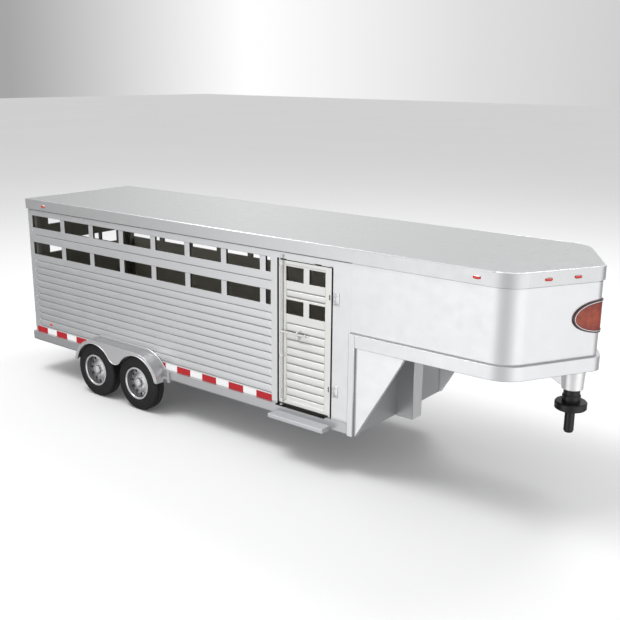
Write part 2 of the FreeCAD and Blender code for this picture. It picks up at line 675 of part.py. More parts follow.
def coupler():
    """Tapered tube, its brace, and the hitch pin that turns in a tow vehicle's bed."""
    tube = doc.addObject("Part::Cone", "coupler_tube")
    bind(tube, Radius1="collar_low", Radius2="collar_top", Height="nose_z - collar_z")
    put(tube, "hitch_x", "0", "collar_z")
    keep(tube)
    brace = new_body("brace_blank")
    plan = new_sketch(brace, "plan", "XZ", "-1")
    foot = "hitch_x - collar_low"
    outline(plan, [(foot, "collar_z + 0.8"), (foot, "nose_z"), (foot + " - 22.6", "nose_z"),
                   (foot + " - 22.6", "nose_z - 1"), (foot + " - 1", "collar_z + 0.8")])
    pad(brace, plan, "2")
    doc.recompute()
    keep(cut("coupler_brace", brace, [tube]))
    pin = new_body("hitch_pin")
    section = new_sketch(pin, "section", "XZ", "0", True)
    outline(section, [
        ("0", "collar_z"), ("neck", "collar_z"), ("neck", "disc_top + 4.6"),
        ("neck_foot", "disc_top + 3.4"), ("neck_foot", "disc_top"),
        ("disc - 0.6", "disc_top"), ("disc", "disc_top - 0.6"),
        ("disc", "disc_low + 0.5"), ("disc - 0.5", "disc_low"), ("peg", "disc_low"),
        ("peg", "peg_z + 1.4"), ("peg - 0.5", "peg_z + 0.4"), ("peg - 1.4", "peg_z"), ("0", "peg_z"),
    ])
    revolve(pin, section)
    put(pin, "hitch_x", "0", "0")
    keep(pin)


# ---------------------------------------------------------------- side door and its latch

def side_door():
    """The escape door, turning on pins at the top and bottom of its front edge."""
    body = new_body("side_door")
    panel = new_sketch(body, "panel", "XZ", "wall_half - door_thick")
    rectangle(panel, "door_x", "door_z", "door_len", "door_tall")
    pad(body, panel, "door_thick")
    sunk = new_sketch(body, "sunk", "XZ", "wall_half")
    rectangle(sunk, "panel_x", "door_z + 2.4", "panel_len", "door_tall - 4.6")
    pocket(body, sunk, "panel_sink")
    panes = new_sketch(body, "panes", "XZ", "wall_half")
    for row in ("pane_low", "pane_high"):
        rectangle(panes, "panel_x + 0.1", row, "pane_len", "pane_tall")
        rectangle(panes, "panel_x + 18", row, "pane_len - 1.3", "pane_tall")
    pocket(body, panes, "2 * door_thick")
    face = "wall_half - panel_sink"
    joint = new_sketch(body, "joints", "XZ", face)
    rectangle(joint, "panel_x", "door_z + 5.2", "panel_len", "door_joint")
    groove = pocket(body, joint, "joint_deep", False, 35)
    repeat(body, groove, joint, "V_Axis", "door_slat * 9", 10)
    between = new_sketch(body, "joints_between", "XZ", face)
    for z in ("pane_low + pane_tall + 1.2", "pane_low + pane_tall + 5.5"):
        rectangle(between, "panel_x", z, "panel_len", "door_joint")
    pocket(body, between, "joint_deep", False, 35)
    notches = new_sketch(body, "notches", "XZ", "wall_half")
    for z in ("106.9", "49.4"):
        rectangle(notches, "pivot_x - 0.8", z, "0.8", "3.4")
    pocket(body, notches, "0.5")
    for name, z, length, radius, down in (
            ("low_boss", "door_z", "0.9", "1", True),
            ("low_pin", "door_z", "2.8", "pivot_pin", True),
            ("top_pin", "door_z + door_tall", "2.6", "pivot_pin", False)):
        plan = new_sketch(body, name, "XY", z)
        circle(plan, "pivot_x", "-pivot_y", radius)
        pad(body, plan, length, down)
    keep(body)


def latch(name, axis_x, axis_y, low, high, reach):
    """A cam rod as tall as its door, and the lever that turns it.

    reach is "x" for a lever lying forward along a side door and "y" for one lying to the left
    across the rear gate.
    """
    keep(rod(name + "_rod", "z", axis_x, axis_y, low, "rod_radius", high + " - (" + low + ")"))
    half = "lever_wide / 2"
    hub = rod(name + "_hub", "z", axis_x, axis_y, "lever_z - " + half + " - 0.3",
              "hub_radius", "lever_wide + 0.6")
    bore = rod(name + "_hub_bore", "z", axis_x, axis_y, "lever_z - 5", "rod_radius", "10")
    if reach == "x":
        bar = box(name + "_bar", axis_x, axis_y + " - 0.4", "lever_z - " + half,
                  "lever_len", "0.8", "lever_wide")
        knob = rod(name + "_knob", "y", axis_x + " + lever_len", axis_y + " - 0.6", "lever_z", "1", "1.2")
    else:
        bar = box(name + "_bar", axis_x + " - 0.4", axis_y, "lever_z - " + half,
                  "0.8", "lever_len", "lever_wide")
        knob = rod(name + "_knob", "x", axis_x + " - 0.6", axis_y + " + lever_len", "lever_z", "1", "1.2")
    keep(cut(name + "_lever", join(name + "_lever_blank", [hub, bar, knob]), [bore]))


def rod_guides(name, axis_x, axis_y, x, y, length, width, heights):
    """Blocks on a door's face that its cam rod turns in."""
    bore = rod(name + "_bore", "z", axis_x, axis_y, "sill_z", "rod_radius + running", "wall_top - sill_z")
    guides = []
    for n, z in enumerate(heights):
        block = box(name + "_block_%d" % n, x, y, z, length, width, "2.2")
        guides.append(cut(name + "_guide_%d" % n, block, [bore]))
    keep(group(name, guides))


def side_latch():
    axis_y = "-(wall_half + rod_gap)"
    latch("side_latch", "rod_x", axis_y, "door_z + 0.4", "door_z + door_tall - 0.4", "x")
    rod_guides("side_rod_guides", "rod_x", axis_y, "rod_x - 1.2", "-wall_half - rod_gap - 0.8",
               "2.4", "rod_gap + 0.8",
               ("door_z + 1.2", "door_z + door_tall / 3", "door_z + door_tall - 3.4"))
    ears = [box("keeper_ear_%d" % n, "rod_x + 12", "-wall_half - rod_gap - 0.7", z, "1.4",
                "rod_gap + 0.7 + panel_sink", height)
            for n, (z, height) in enumerate((("lever_z + 0.9", "1"), ("lever_z - 3.2", "2.3")))]
    keep(group("lever_keeper", ears))
    keep(group("cam_keepers", [
        box("keeper_top", "rod_x - 0.8", "-wall_half - 1.5", "doorway_top + 0.4", "1.6", "1.5", "2.2"),
        box("keeper_low", "rod_x - 0.8", "-wall_half - 1.7", "sill_z", "1.6", "1.4", "0.7"),
    ]))
    front = "doorway_x + doorway_len"
    barrels = []
    for n, z in enumerate(("104.8", "47.3")):
        leaf = box("hinge_leaf_%d" % n, front + " + 1", "-wall_half - 0.35", z, "3.8", "0.35", "7.6")
        barrel = rod("hinge_barrel_%d" % n, "z", front + " + 1.1", "-wall_half - 0.3", z, "0.6", "7.6")
        wall = box("hinge_wall_%d" % n, front, "-wall_half", z + " - 1", "8", "2", "10")
        barrels.append(cut("hinge_moulding_%d" % n, join("hinge_blank_%d" % n, [leaf, barrel]), [wall]))
    keep(group("side_hinge_barrels", barrels))


# ---------------------------------------------------------------- rear gate and its latch

HINGE_HEIGHTS = ("45", "76", "107")


def rear_gate():
    """A full-width gate with three openings in each of two rows."""
    body = new_body("rear_gate")
    panel = new_sketch(body, "panel", "YZ", "gate_x")
    rectangle(panel, "-gate_half", "gate_z", "2 * gate_half", "gate_top - gate_z")
    pad(body, panel, "gate_thick")
    windows = new_sketch(body, "windows", "YZ", "gate_x + gate_thick")
    for row in ("gate_low_row", "high_row"):
        rectangle(windows, "-gate_side_y - gate_side_wide", row, "gate_side_wide", "row_tall")
        rectangle(windows, "-gate_mid_half", row, "2 * gate_mid_half", "row_tall")
        rectangle(windows, "gate_side_y", row, "gate_side_wide", "row_tall")
    pocket(body, windows, "2 * gate_thick")
    slat_joints(body, "joints", "YZ", "gate_x", True, "-gate_half + 7", "2 * gate_half - 14")
    keep(body)


def rear_hinges():
    """Knuckles on the gate, knuckles on the left wall, and the pins through both."""
    gate_side = []
    wall_side = []
    pins = []
    for n, z in enumerate(HINGE_HEIGHTS):
        middle = z + " + knuckle_tall + knuckle_gap"
        high = z + " + 2 * (knuckle_tall + knuckle_gap)"
        barrel = rod("gate_barrel_%d" % n, "z", "hinge_x", "hinge_y", middle, "knuckle", "knuckle_tall")
        leaf = box("gate_leaf_%d" % n, "hinge_x + 0.5", "gate_half - 6", middle, "0.6",
                   "hinge_y - gate_half + 6", "knuckle_tall")
        foot = box("gate_leaf_foot_%d" % n, "hinge_x + 0.5", "gate_half - 6", middle,
                   "gate_x - hinge_x - 0.5", "5.8", "knuckle_tall")
        loose = rod("gate_bore_%d" % n, "z", "hinge_x", "hinge_y", z, "hinge_pin + running", "20")
        blank = join("gate_blank_%d" % n, [barrel, leaf, foot])
        gate_side.append(cut("gate_knuckle_%d" % n, blank, [loose]))
        for level, start in (("low", z), ("high", high)):
            name = "wall_%s_%d" % (level, n)
            collar = rod(name + "_barrel", "z", "hinge_x", "hinge_y", start, "knuckle", "knuckle_tall")
            plate = box(name + "_plate", "hinge_x", "hinge_y - 0.6", start, "-hinge_x", "1.2", "knuckle_tall")
            tight = rod(name + "_bore", "z", "hinge_x", "hinge_y", z, "hinge_pin", "20")
            wall_side.append(cut(name, join(name + "_blank", [collar, plate]), [tight]))
        pins.append(rod("hinge_pin_%d" % n, "z", "hinge_x", "hinge_y", z, "hinge_pin",
                        "3 * knuckle_tall + 2 * knuckle_gap"))
    keep(group("rear_gate_knuckles", gate_side))
    keep(group("rear_wall_knuckles", wall_side))
    keep(group("rear_hinge_pins", pins))


def rear_latch():
    axis_x = "gate_x - rod_gap"
    latch("rear_latch", axis_x, "-gate_rod_y", "gate_z + 0.4", "gate_top - 0.4", "y")
    rod_guides("rear_rod_guides", axis_x, "-gate_rod_y", axis_x + " - 0.8", "-gate_rod_y - 1.2",
               "rod_gap + 0.8", "2.4",
               ("gate_z + 1.2", "gate_z + 30", "gate_top - 3.4"))


# ---------------------------------------------------------------- trim

def slanted_lens(name, along, z, side):
    """A marker lens flat on the roof band's slanted face, a given distance from the tip."""
    slope = size("nose_slope")
    out = size("roof_out")
    length = size("lens_long")
    height = size("lens_tall")
    run = Vec(-slope, 1, 0).normalize()
    face = Vec(1, slope, 0).normalize()
    tip = Vec(size("rear_x") + size("tip_x"), 0, z)
    centre = tip + run * along + face * out
    item = doc.addObject("Part::Feature", name)
    block = Part.makeBox(length, size("lens_thick"), height, Vec(-length / 2, 0, -height / 2))
    angle = FreeCAD.Rotation(Vec(0, 1, 0), face)
    block.Placement = FreeCAD.Placement(centre, angle)
    if side == RIGHT:
        block = block.mirror(Vec(), Vec(0, 1, 0))
    item.Shape = block
    return item


def lights():
    above_eave = 3.5
    middle = size("eave_z") + above_eave
    lenses = []
    for name, side in (("right", RIGHT), ("left", LEFT)):
        for end, x in (("rear", "21.4"), ("front", "391.4")):
            lenses.append(side_box("lens_%s_%s" % (end, name), side, x + " - lens_long / 2",
                                   "wall_half + roof_out", "eave_z + %.1f - lens_tall / 2" % above_eave,
                                   "lens_long", "lens_thick", "lens_tall"))
        for n, along in enumerate((18.2, 36.8)):
            lenses.append(slanted_lens("lens_nose_%s_%d" % (name, n), along, middle, side))
    keep(group("marker_lights", lenses))
    keep(group("side_lights", [
        side_box("side_light_" + name, side, "18.6", "wall_half", "slat_z + slat_pitch / 2 - 0.8",
                 "2.8", "0.7", "1.6")
        for name, side in (("right", RIGHT), ("left", LEFT))]))
    keep(group("tail_lights", [
        side_box("tail_light_" + name, side, "-rail_out - 0.7", "36", "deck_z + 2.4", "0.7", "8", "3")
        for name, side in (("right", RIGHT), ("left", LEFT))]))


def tape():
    """Red and white reflective blocks along the foot of each wall, in a rear and a front run."""
    reds = []
    whites = []
    pitch = "(tape_red + tape_white)"
    for name, side, front_end, periods in (
            ("right", RIGHT, "slat_end + 0.3", 5), ("left", LEFT, "slat_end + 49.7", 7)):
        for n in range(4):
            start = "2 + %d * %s" % (n, pitch)
            reds.append((name, side, "rear_%d" % n, start, "tape_red"))
            if n < 3:
                whites.append((name, side, "rear_%d" % n, start + " + tape_red", "tape_white"))
        for n in range(periods + 1):
            start = "%s - tape_red - %d * %s" % (front_end, n, pitch)
            reds.append((name, side, "front_%d" % n, start, "tape_red"))
            if n < periods:
                whites.append((name, side, "front_%d" % n, start + " - tape_white", "tape_white"))
    for colour, blocks in (("red", reds), ("white", whites)):
        keep(group("tape_%s_blocks" % colour, [
            side_box("tape_%s_%s_%s" % (colour, name, spot), side, start, "wall_half", "sill_z + 0.1",
                     length, "tape_thick", "tape_tall")
            for name, side, spot, start, length in blocks]))


def badge():
    """A blank oval plate wrapped on the tip of the nose: a raised rim round a lower field."""
    ovals = {}
    for part, shrink in (("whole", "0"), ("field", "badge_rim")):
        plan = doc.addObject("Part::Ellipse", "badge_plan_" + part)
        bind(plan, MajorRadius="badge_y - " + shrink, MinorRadius="badge_tall - " + shrink)
        plan.Placement = FreeCAD.Placement(Vec(), FreeCAD.Rotation(Vec(0, 1, 0), Vec(0, 0, 1), Vec(1, 0, 0)))
        put(plan, "tip_x - 30", "0", "badge_z")
        oval = doc.addObject("Part::Extrusion", "badge_oval_" + part)
        oval.Base = plan
        oval.DirMode = "Custom"
        oval.Dir = Vec(1, 0, 0)
        oval.Solid = True
        oval.LengthFwd = 60
        ovals[part] = oval
    low = "badge_z - badge_tall - 1"
    tall = "2 * badge_tall + 2"
    wall = nose_block("badge_wall", "0", "nose_x", low + " - 1", tall + " + 2")
    skins = {}
    for part, grow in (("whole", "0.9"), ("field", "0.6")):
        outer = nose_block("badge_outer_" + part, grow, "nose_x + 1", low, tall)
        skins[part] = cut("badge_skin_" + part, outer, [wall])
    ring = cut("badge_ring_oval", ovals["whole"], [ovals["field"]])
    keep(overlap("badge_rim_plate", skins["whole"], ring))
    keep(overlap("badge_field_plate", skins["field"], ovals["field"]))


def small_fixings():
    rivets = []
    heights = ["slat_z + slat_pitch * %.1f" % (n + 0.5) for n in range(int(size("slat_count")))]
    heights += ["slat_between - 3", "slat_between + 3"]
    for name, side in (("right", RIGHT), ("left", LEFT)):
        y = "wall_half" if side == LEFT else "-wall_half - 0.3"
        rivets += [rod("rivet_%s_%d" % (name, n), "y", "4", y, z, "0.5", "0.3")
                   for n, z in enumerate(heights)]
    keep(group("wall_rivets", rivets))
    screws = []
    low = "sill_z - plate - 1.2"
    for n, x in enumerate(("20", "175", "292")):
        for name, y in (("right", "-30"), ("left", "30")):
            spot = "_%s_%d" % (name, n)
            head = rod("screw" + spot, "z", x, y, low, "1.9", "1.2")
            slots = [
                box("slot_long" + spot, x + " - 1.2", y + " - 0.25", low + " - 0.1", "2.4", "0.5", "0.8"),
                box("slot_wide" + spot, x + " - 0.25", y + " - 1.2", low + " - 0.1", "0.5", "2.4", "0.8"),
            ]
            screws.append(cut("screw_head" + spot, head, slots))
    keep(group("assembly_screws", screws))


def entry_step():
    """A ribbed tread on the rail below the side door."""
    blank = box("step_blank", "doorway_x + 0.2", "-step_out", "deck_z + 0.2",
                "step_long", "step_deep", "step_tall")
    outer = -size("step_out")
    inner = outer + size("step_deep")
    top = size("deck_z") + 0.2 + size("step_tall")
    smooth = rounded("step_smooth", blank, 0.5, lambda e: (
        at(e, "y", outer) or (at(e, "z", top) and not at(e, "y", inner))))
    treads = [box("step_groove_%d" % n, "doorway_x + 1.5", "-step_out + 1.4 + %.1f" % (1.3 * n),
                  "deck_z + step_tall - 0.1", "step_long - 2.6", "0.5", "1") for n in range(5)]
    keep(cut("entry_step", smooth, treads))


floor_pan()
side_panel("side_panel_right", RIGHT, 6)
side_panel("side_panel_left", LEFT, 7)
nose_shell()
nose_pan()
roof()
front_frame()
rear_frame()
running_gear()
coupler()
side_door()
side_latch()
rear_gate()
rear_hinges()
rear_latch()
lights()
tape()
badge()
small_fixings()
entry_step()
doc.recompute()

failed = [item.Name for item in doc.Objects if "Invalid" in item.State or "Error" in item.State]
if failed:
    raise RuntimeError("failed features: " + ", ".join(failed))
for item in doc.Objects:
    if item.TypeId == "PartDesign::Pocket" and item.Shape.Volume > item.BaseFeature.Shape.Volume - 1e-6:
        raise RuntimeError("pocket that cuts nothing: " + item.Name)

os.makedirs("parts", exist_ok=True)
for item in nodes:
    if item.Shape.isNull() or not item.Shape.isValid():
        raise RuntimeError("bad shape: " + item.Label)
    item.Shape.exportStep(os.path.join("parts", item.Label + ".step"))

whole = FreeCAD.BoundBox()
for item in nodes:
    whole.add(item.Shape.BoundBox)
print("nodes", len(nodes), "box", whole)
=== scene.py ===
import math

import bmesh
import bpy
from mathutils import Matrix, Vector
from mathutils.bvhtree import BVHTree
from mathutils.geometry import convex_hull_2d


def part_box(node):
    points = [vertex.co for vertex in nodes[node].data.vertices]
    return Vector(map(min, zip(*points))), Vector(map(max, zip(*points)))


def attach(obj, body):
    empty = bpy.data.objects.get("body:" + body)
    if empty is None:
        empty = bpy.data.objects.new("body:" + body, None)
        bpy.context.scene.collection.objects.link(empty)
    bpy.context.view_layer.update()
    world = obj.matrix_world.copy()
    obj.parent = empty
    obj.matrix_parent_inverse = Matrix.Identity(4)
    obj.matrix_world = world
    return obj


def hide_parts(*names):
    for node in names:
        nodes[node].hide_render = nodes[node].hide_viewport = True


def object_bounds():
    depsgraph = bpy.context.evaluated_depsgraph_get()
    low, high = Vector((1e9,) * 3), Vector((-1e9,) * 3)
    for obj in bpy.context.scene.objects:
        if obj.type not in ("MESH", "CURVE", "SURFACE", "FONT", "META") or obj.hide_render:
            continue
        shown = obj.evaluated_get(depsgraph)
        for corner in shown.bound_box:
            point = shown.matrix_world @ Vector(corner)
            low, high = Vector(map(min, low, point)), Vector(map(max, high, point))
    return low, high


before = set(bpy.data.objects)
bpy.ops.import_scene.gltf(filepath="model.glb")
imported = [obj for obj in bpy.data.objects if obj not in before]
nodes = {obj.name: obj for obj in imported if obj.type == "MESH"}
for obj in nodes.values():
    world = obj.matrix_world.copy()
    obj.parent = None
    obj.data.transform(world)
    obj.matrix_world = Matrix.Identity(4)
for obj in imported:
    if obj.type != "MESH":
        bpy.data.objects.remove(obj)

MM = 0.001
FORWARD = Vector((1, 0, 0))
UP = Vector((0, 0, 1))
AXLES = ("front", "rear")
# The trailer's two sides, and which way along Y their outer faces look.
SIDES = {"right": -1, "left": 1}


# ---------------------------------------------------------------- measures from the frame

cad_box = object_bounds()
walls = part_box("side_panel_right")
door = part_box("side_door")
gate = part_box("rear_gate")
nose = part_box("nose_shell")
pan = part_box("nose_pan")
roof_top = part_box("roof")[1].z
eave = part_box("roof")[0].z
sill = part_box("floor_pan")[1].z
wall_face = -walls[0].y
wall_inner_face = wall_face - 1.5 * MM
nose_heart = Vector((nose[0].x + 30 * MM, 0))
wheel_hubs = [sum(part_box("axle_" + axle), Vector()) / 2 for axle in ("rear", "front")]


# ---------------------------------------------------------------- shader helpers

def start(name, base, metallic=0.0, roughness=0.5, coat=0.0):
    """A new material with its shader's plain values set. Returns the material, its tree and its shader."""
    made = bpy.data.materials.new(name)
    made.use_nodes = True
    shader = made.node_tree.nodes["Principled BSDF"]
    shader.inputs["Base Color"].default_value = (*base, 1)
    shader.inputs["Metallic"].default_value = metallic
    shader.inputs["Roughness"].default_value = roughness
    shader.inputs["Coat Weight"].default_value = coat
    shader.inputs["Coat Roughness"].default_value = 0.12
    return made, made.node_tree, shader


def place(tree, stretch=(1, 1, 1)):
    """A point on the part at rest, in metres, stretched along the axes."""
    coords = tree.nodes.new("ShaderNodeTexCoord")
    mapping = tree.nodes.new("ShaderNodeMapping")
    mapping.inputs["Scale"].default_value = stretch
    tree.links.new(coords.outputs["Object"], mapping.inputs["Vector"])
    return mapping.outputs["Vector"]


def noise(tree, grain_mm, detail=2.0, stretch=(1, 1, 1)):
    """Soft random blotches about grain_mm across."""
    texture = tree.nodes.new("ShaderNodeTexNoise")
    texture.inputs["Scale"].default_value = 1 / (grain_mm * MM)
    texture.inputs["Detail"].default_value = detail
    tree.links.new(place(tree, stretch), texture.inputs["Vector"])
    return texture.outputs["Fac"]


def spread(tree, value, low, high, start_at=0.3, end_at=0.7):
    """The value mapped from start_at..end_at to low..high."""
    node = tree.nodes.new("ShaderNodeMapRange")
    node.inputs["From Min"].default_value = start_at
    node.inputs["From Max"].default_value = end_at
    node.inputs["To Min"].default_value = low
    node.inputs["To Max"].default_value = high
    tree.links.new(value, node.inputs["Value"])
    return node.outputs["Result"]


def ramp(tree, value, stops):
    """A colour ramp with the given (position, colour) stops."""
    node = tree.nodes.new("ShaderNodeValToRGB")
    elements = node.color_ramp.elements
    while len(elements) < len(stops):
        elements.new(0.5)
    for element, (position, colour) in zip(elements, stops):
        element.position = position
        element.color = (*colour, 1)
    tree.links.new(value, node.inputs["Fac"])
    return node.outputs["Color"]


def mixed(tree, factor, first, second):
    """One colour passing into another by a factor."""
    node = tree.nodes.new("ShaderNodeMix")
    node.data_type = "RGBA"
    tree.links.new(factor, node.inputs["Factor"])
    for socket, colour in ((node.inputs[6], first), (node.inputs[7], second)):
        if isinstance(colour, tuple):
            socket.default_value = (*colour, 1)
        else:
            tree.links.new(colour, socket)
    return node.outputs[2]


def shade(colour, amount):
    """The colour with each channel scaled by amount, at most 1."""
    return tuple(min(1.0, channel * amount) for channel in colour)


def dappled(tree, shader, colour, grain_mm, amount, stretch=(1, 1, 1)):
    """Vary the base colour by plus and minus amount in blotches."""
    stops = [(0.3, shade(colour, 1 - amount)), (0.7, shade(colour, 1 + amount))]
    made = ramp(tree, noise(tree, grain_mm, 3.0, stretch), stops)
    tree.links.new(made, shader.inputs["Base Color"])
    return made


def uneven_gloss(tree, shader, low, high, grain_mm, stretch=(1, 1, 1)):
    """Vary the roughness from low to high in blotches."""
    tree.links.new(spread(tree, noise(tree, grain_mm, 3.0, stretch), low, high), shader.inputs["Roughness"])


def surface(tree, shader, height, depth_mm, edge_mm=0.0):
    """Bump from a height, over corners softened by edge_mm."""
    bump = tree.nodes.new("ShaderNodeBump")
    bump.inputs["Strength"].default_value = 1.0
    bump.inputs["Distance"].default_value = depth_mm * MM
    tree.links.new(height, bump.inputs["Height"])
    if edge_mm:
        bevel = tree.nodes.new("ShaderNodeBevel")
        bevel.samples = 8
        bevel.inputs["Radius"].default_value = edge_mm * MM
        tree.links.new(bevel.outputs["Normal"], bump.inputs["Normal"])
    tree.links.new(bump.outputs["Normal"], shader.inputs["Normal"])


# ---------------------------------------------------------------- materials

def silver_paint(name, colour, roughness=0.32, metallic=0.74, peel_mm=0.005, edge_mm=0.45):
    """Sprayed metallic paint on moulded plastic: fine flake, faint clouding and orange peel."""
    made, tree, shader = start(name, colour, metallic, roughness, 0.15)
    flake = ramp(tree, noise(tree, 0.22, 1.0), [(0.3, shade(colour, 0.965)), (0.7, shade(colour, 1.03))])
    cloud = spread(tree, noise(tree, 26, 2.0), 0.1, 0.25)
    tree.links.new(mixed(tree, cloud, flake, shade(colour, 0.92)), shader.inputs["Base Color"])
    uneven_gloss(tree, shader, roughness - 0.03, roughness + 0.03, 6.0)
    surface(tree, shader, noise(tree, 1.1, 2.0), peel_mm, edge_mm)
    return made


def smooth_silver(name, colour, roughness, metallic):
    """Silver paint with next to no orange peel and no softened corners, for small round mouldings."""
    return silver_paint(name, colour, roughness, metallic, peel_mm=0.001, edge_mm=0.0)


def bare_plastic(name, colour):
    """Unpainted moulded plastic with a fine spark-eroded grain."""
    made, tree, shader = start(name, colour, 0.0, 0.55)
    dappled(tree, shader, colour, 9.0, 0.025)
    uneven_gloss(tree, shader, 0.48, 0.62, 1.5)
    surface(tree, shader, noise(tree, 0.35, 3.0), 0.02, 0.3)
    return made


def brushed_silver(name, colour):
    """Brighter, smoother silver on the fenders, drawn out along the trailer."""
    made, tree, shader = start(name, colour, 0.92, 0.33, 0.05)
    along = (0.04, 1, 1)
    dappled(tree, shader, colour, 0.6, 0.015, along)
    uneven_gloss(tree, shader, 0.31, 0.35, 0.8, along)
    surface(tree, shader, noise(tree, 0.5, 1.0, along), depth_mm=0.0003)
    return made


def drawn_steel():
    """Plain wire with faint draw marks along its length."""
    colour = (0.62, 0.62, 0.63)
    made, tree, shader = start("steel_wire", colour, 1.0, 0.3)
    along = (1, 1, 0.08)
    dappled(tree, shader, colour, 0.4, 0.08, along)
    uneven_gloss(tree, shader, 0.2, 0.38, 0.5, along)
    surface(tree, shader, noise(tree, 0.25, 2.0, along), 0.006)
    return made


def tyre_rubber():
    """Matt moulded rubber, dustier in patches."""
    colour = (0.010, 0.010, 0.011)
    made, tree, shader = start("tyre_rubber", colour, 0.0, 0.6)
    shader.inputs["Specular IOR Level"].default_value = 0.3
    dust = spread(tree, noise(tree, 7.0, 4.0), 0.0, 0.5)
    tree.links.new(mixed(tree, dust, colour, (0.017, 0.017, 0.016)), shader.inputs["Base Color"])
    uneven_gloss(tree, shader, 0.5, 0.68, 1.2)
    surface(tree, shader, noise(tree, 0.3, 3.0), 0.02, 0.15)
    return made


def reflective_tape(name, colour):
    """Printed reflective strip with a faint cell pattern under a clear film."""
    made, tree, shader = start(name, colour, 0.0, 0.42, 0.15)
    shader.inputs["Specular IOR Level"].default_value = 0.3
    cells = tree.nodes.new("ShaderNodeTexVoronoi")
    cells.feature = "DISTANCE_TO_EDGE"
    cells.inputs["Scale"].default_value = 1 / (0.9 * MM)
    cells.inputs["Randomness"].default_value = 0.15
    tree.links.new(place(tree), cells.inputs["Vector"])
    stops = [(0.0, shade(colour, 0.86)), (0.12, shade(colour, 1.05))]
    tree.links.new(ramp(tree, cells.outputs["Distance"], stops), shader.inputs["Base Color"])
    surface(tree, shader, noise(tree, 0.8, 2.0), 0.01)
    return made


def red_lens():
    """Clear red-orange plastic, deeper in the middle of its thickness."""
    colour = (0.74, 0.032, 0.008)
    made, tree, shader = start("red_lens", colour, 0.0, 0.2, 0.4)
    dappled(tree, shader, colour, 1.6, 0.12)
    shader.inputs["Subsurface Weight"].default_value = 0.25
    shader.inputs["Subsurface Radius"].default_value = (0.0012, 0.0003, 0.0002)
    surface(tree, shader, noise(tree, 0.5, 1.0), 0.01)
    return made


def black_gloss():
    """Black moulded plastic with a soft shine."""
    colour = (0.006, 0.006, 0.0065)
    made, tree, shader = start("black_gloss", colour, 0.0, 0.34, 0.1)
    shader.inputs["Specular IOR Level"].default_value = 0.35
    dappled(tree, shader, colour, 2.5, 0.2)
    uneven_gloss(tree, shader, 0.24, 0.4, 1.2)
    surface(tree, shader, noise(tree, 0.5, 3.0), 0.015, 0.25)
    return made


def badge_rim():
    """Dark maroon enamel."""
    colour = (0.06, 0.009, 0.009)
    made, tree, shader = start("badge_rim", colour, 0.0, 0.34, 0.2)
    dappled(tree, shader, colour, 1.5, 0.15)
    surface(tree, shader, noise(tree, 0.6, 2.0), 0.008, 0.2)
    return made


def badge_field():
    """Plain printed field: orange across the middle, deep red above and below, mottled."""
    made, tree, shader = start("badge_field", (0.5, 0.08, 0.04), 0.0, 0.4, 0.12)
    low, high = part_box("badge_field_plate")
    split = tree.nodes.new("ShaderNodeSeparateXYZ")
    tree.links.new(place(tree), split.inputs["Vector"])
    height = spread(tree, split.outputs["Z"], 0.0, 1.0, low.z, high.z)
    red, orange, dark_red = (0.30, 0.024, 0.008), (0.50, 0.075, 0.014), (0.26, 0.016, 0.006)
    print_ = ramp(tree, height, [(0.0, red), (0.5, orange), (1.0, dark_red)])
    mottle = spread(tree, noise(tree, 2.6, 4.0), 0.0, 0.7)
    tree.links.new(mixed(tree, mottle, print_, (0.16, 0.012, 0.008)), shader.inputs["Base Color"])
    surface(tree, shader, noise(tree, 0.5, 2.0), 0.006)
    return made


def floor_look(rail, inside):
    """The floor pan: painted rail outside the walls, bare plastic within them."""
    made, tree, shader = start("floor_paint", rail, 0.74, 0.34, 0.1)
    painted = ramp(tree, noise(tree, 0.22, 1.0), [(0.3, shade(rail, 0.93)), (0.7, shade(rail, 1.06))])
    # The bare plastic within the walls is the pale copy: painted light.
    dark = ramp(tree, noise(tree, 4.0, 3.0), [(0.3, shade(inside, 0.9)), (0.7, shade(inside, 1.1))])
    split = tree.nodes.new("ShaderNodeSeparateXYZ")
    tree.links.new(place(tree), split.inputs["Vector"])
    across = tree.nodes.new("ShaderNodeMath")
    across.operation = "ABSOLUTE"
    tree.links.new(split.outputs["Y"], across.inputs[0])
    within = spread(tree, across.outputs["Value"], 1.0, 0.0, wall_face - 0.3 * MM, wall_face - 0.2 * MM)
    above = spread(tree, split.outputs["Z"], 0.0, 1.0, sill - 0.4 * MM, sill - 0.3 * MM)
    both = tree.nodes.new("ShaderNodeMath")
    both.operation = "MULTIPLY"
    tree.links.new(within, both.inputs[0])
    tree.links.new(above, both.inputs[1])
    mask = both.outputs["Value"]
    tree.links.new(mixed(tree, mask, painted, dark), shader.inputs["Base Color"])
    tree.links.new(spread(tree, mask, 0.74, 0.0, 0.0, 1.0), shader.inputs["Metallic"])
    surface(tree, shader, noise(tree, 0.7, 2.0), 0.014, 0.3)
    return made


SILVER = (0.71, 0.715, 0.725)
RAIL = (0.51, 0.513, 0.522)
# Pale bare plastic, paler than the doors' inner plastic: painted light for the dim inside of the closed
# body.
INSIDE_PAINTED_LIGHT = (0.50, 0.49, 0.43)

shell = silver_paint("silver_shell", SILVER)
nose_paint = silver_paint("silver_nose", SILVER, edge_mm=0.0)
# The roof's top and its band are darker copies of the wall silver, each set to its own brightness: painted
# shade.
painted_shade_roof = silver_paint("silver_roof_painted_shade", (0.53, 0.535, 0.537), roughness=0.3, peel_mm=0.0006, edge_mm=0.0)
painted_shade_band = silver_paint("silver_band_painted_shade", (0.62, 0.625, 0.63), edge_mm=0.0)
door_paint = silver_paint("silver_door", (0.76, 0.76, 0.74), roughness=0.36)
step_paint = silver_paint("silver_step", (0.55, 0.56, 0.58), roughness=0.36)
# A darker copy of the silver for the bulkhead under the nose: painted shade.
painted_shade_frame = silver_paint("silver_frame_painted_shade", (0.47, 0.475, 0.485), roughness=0.36)
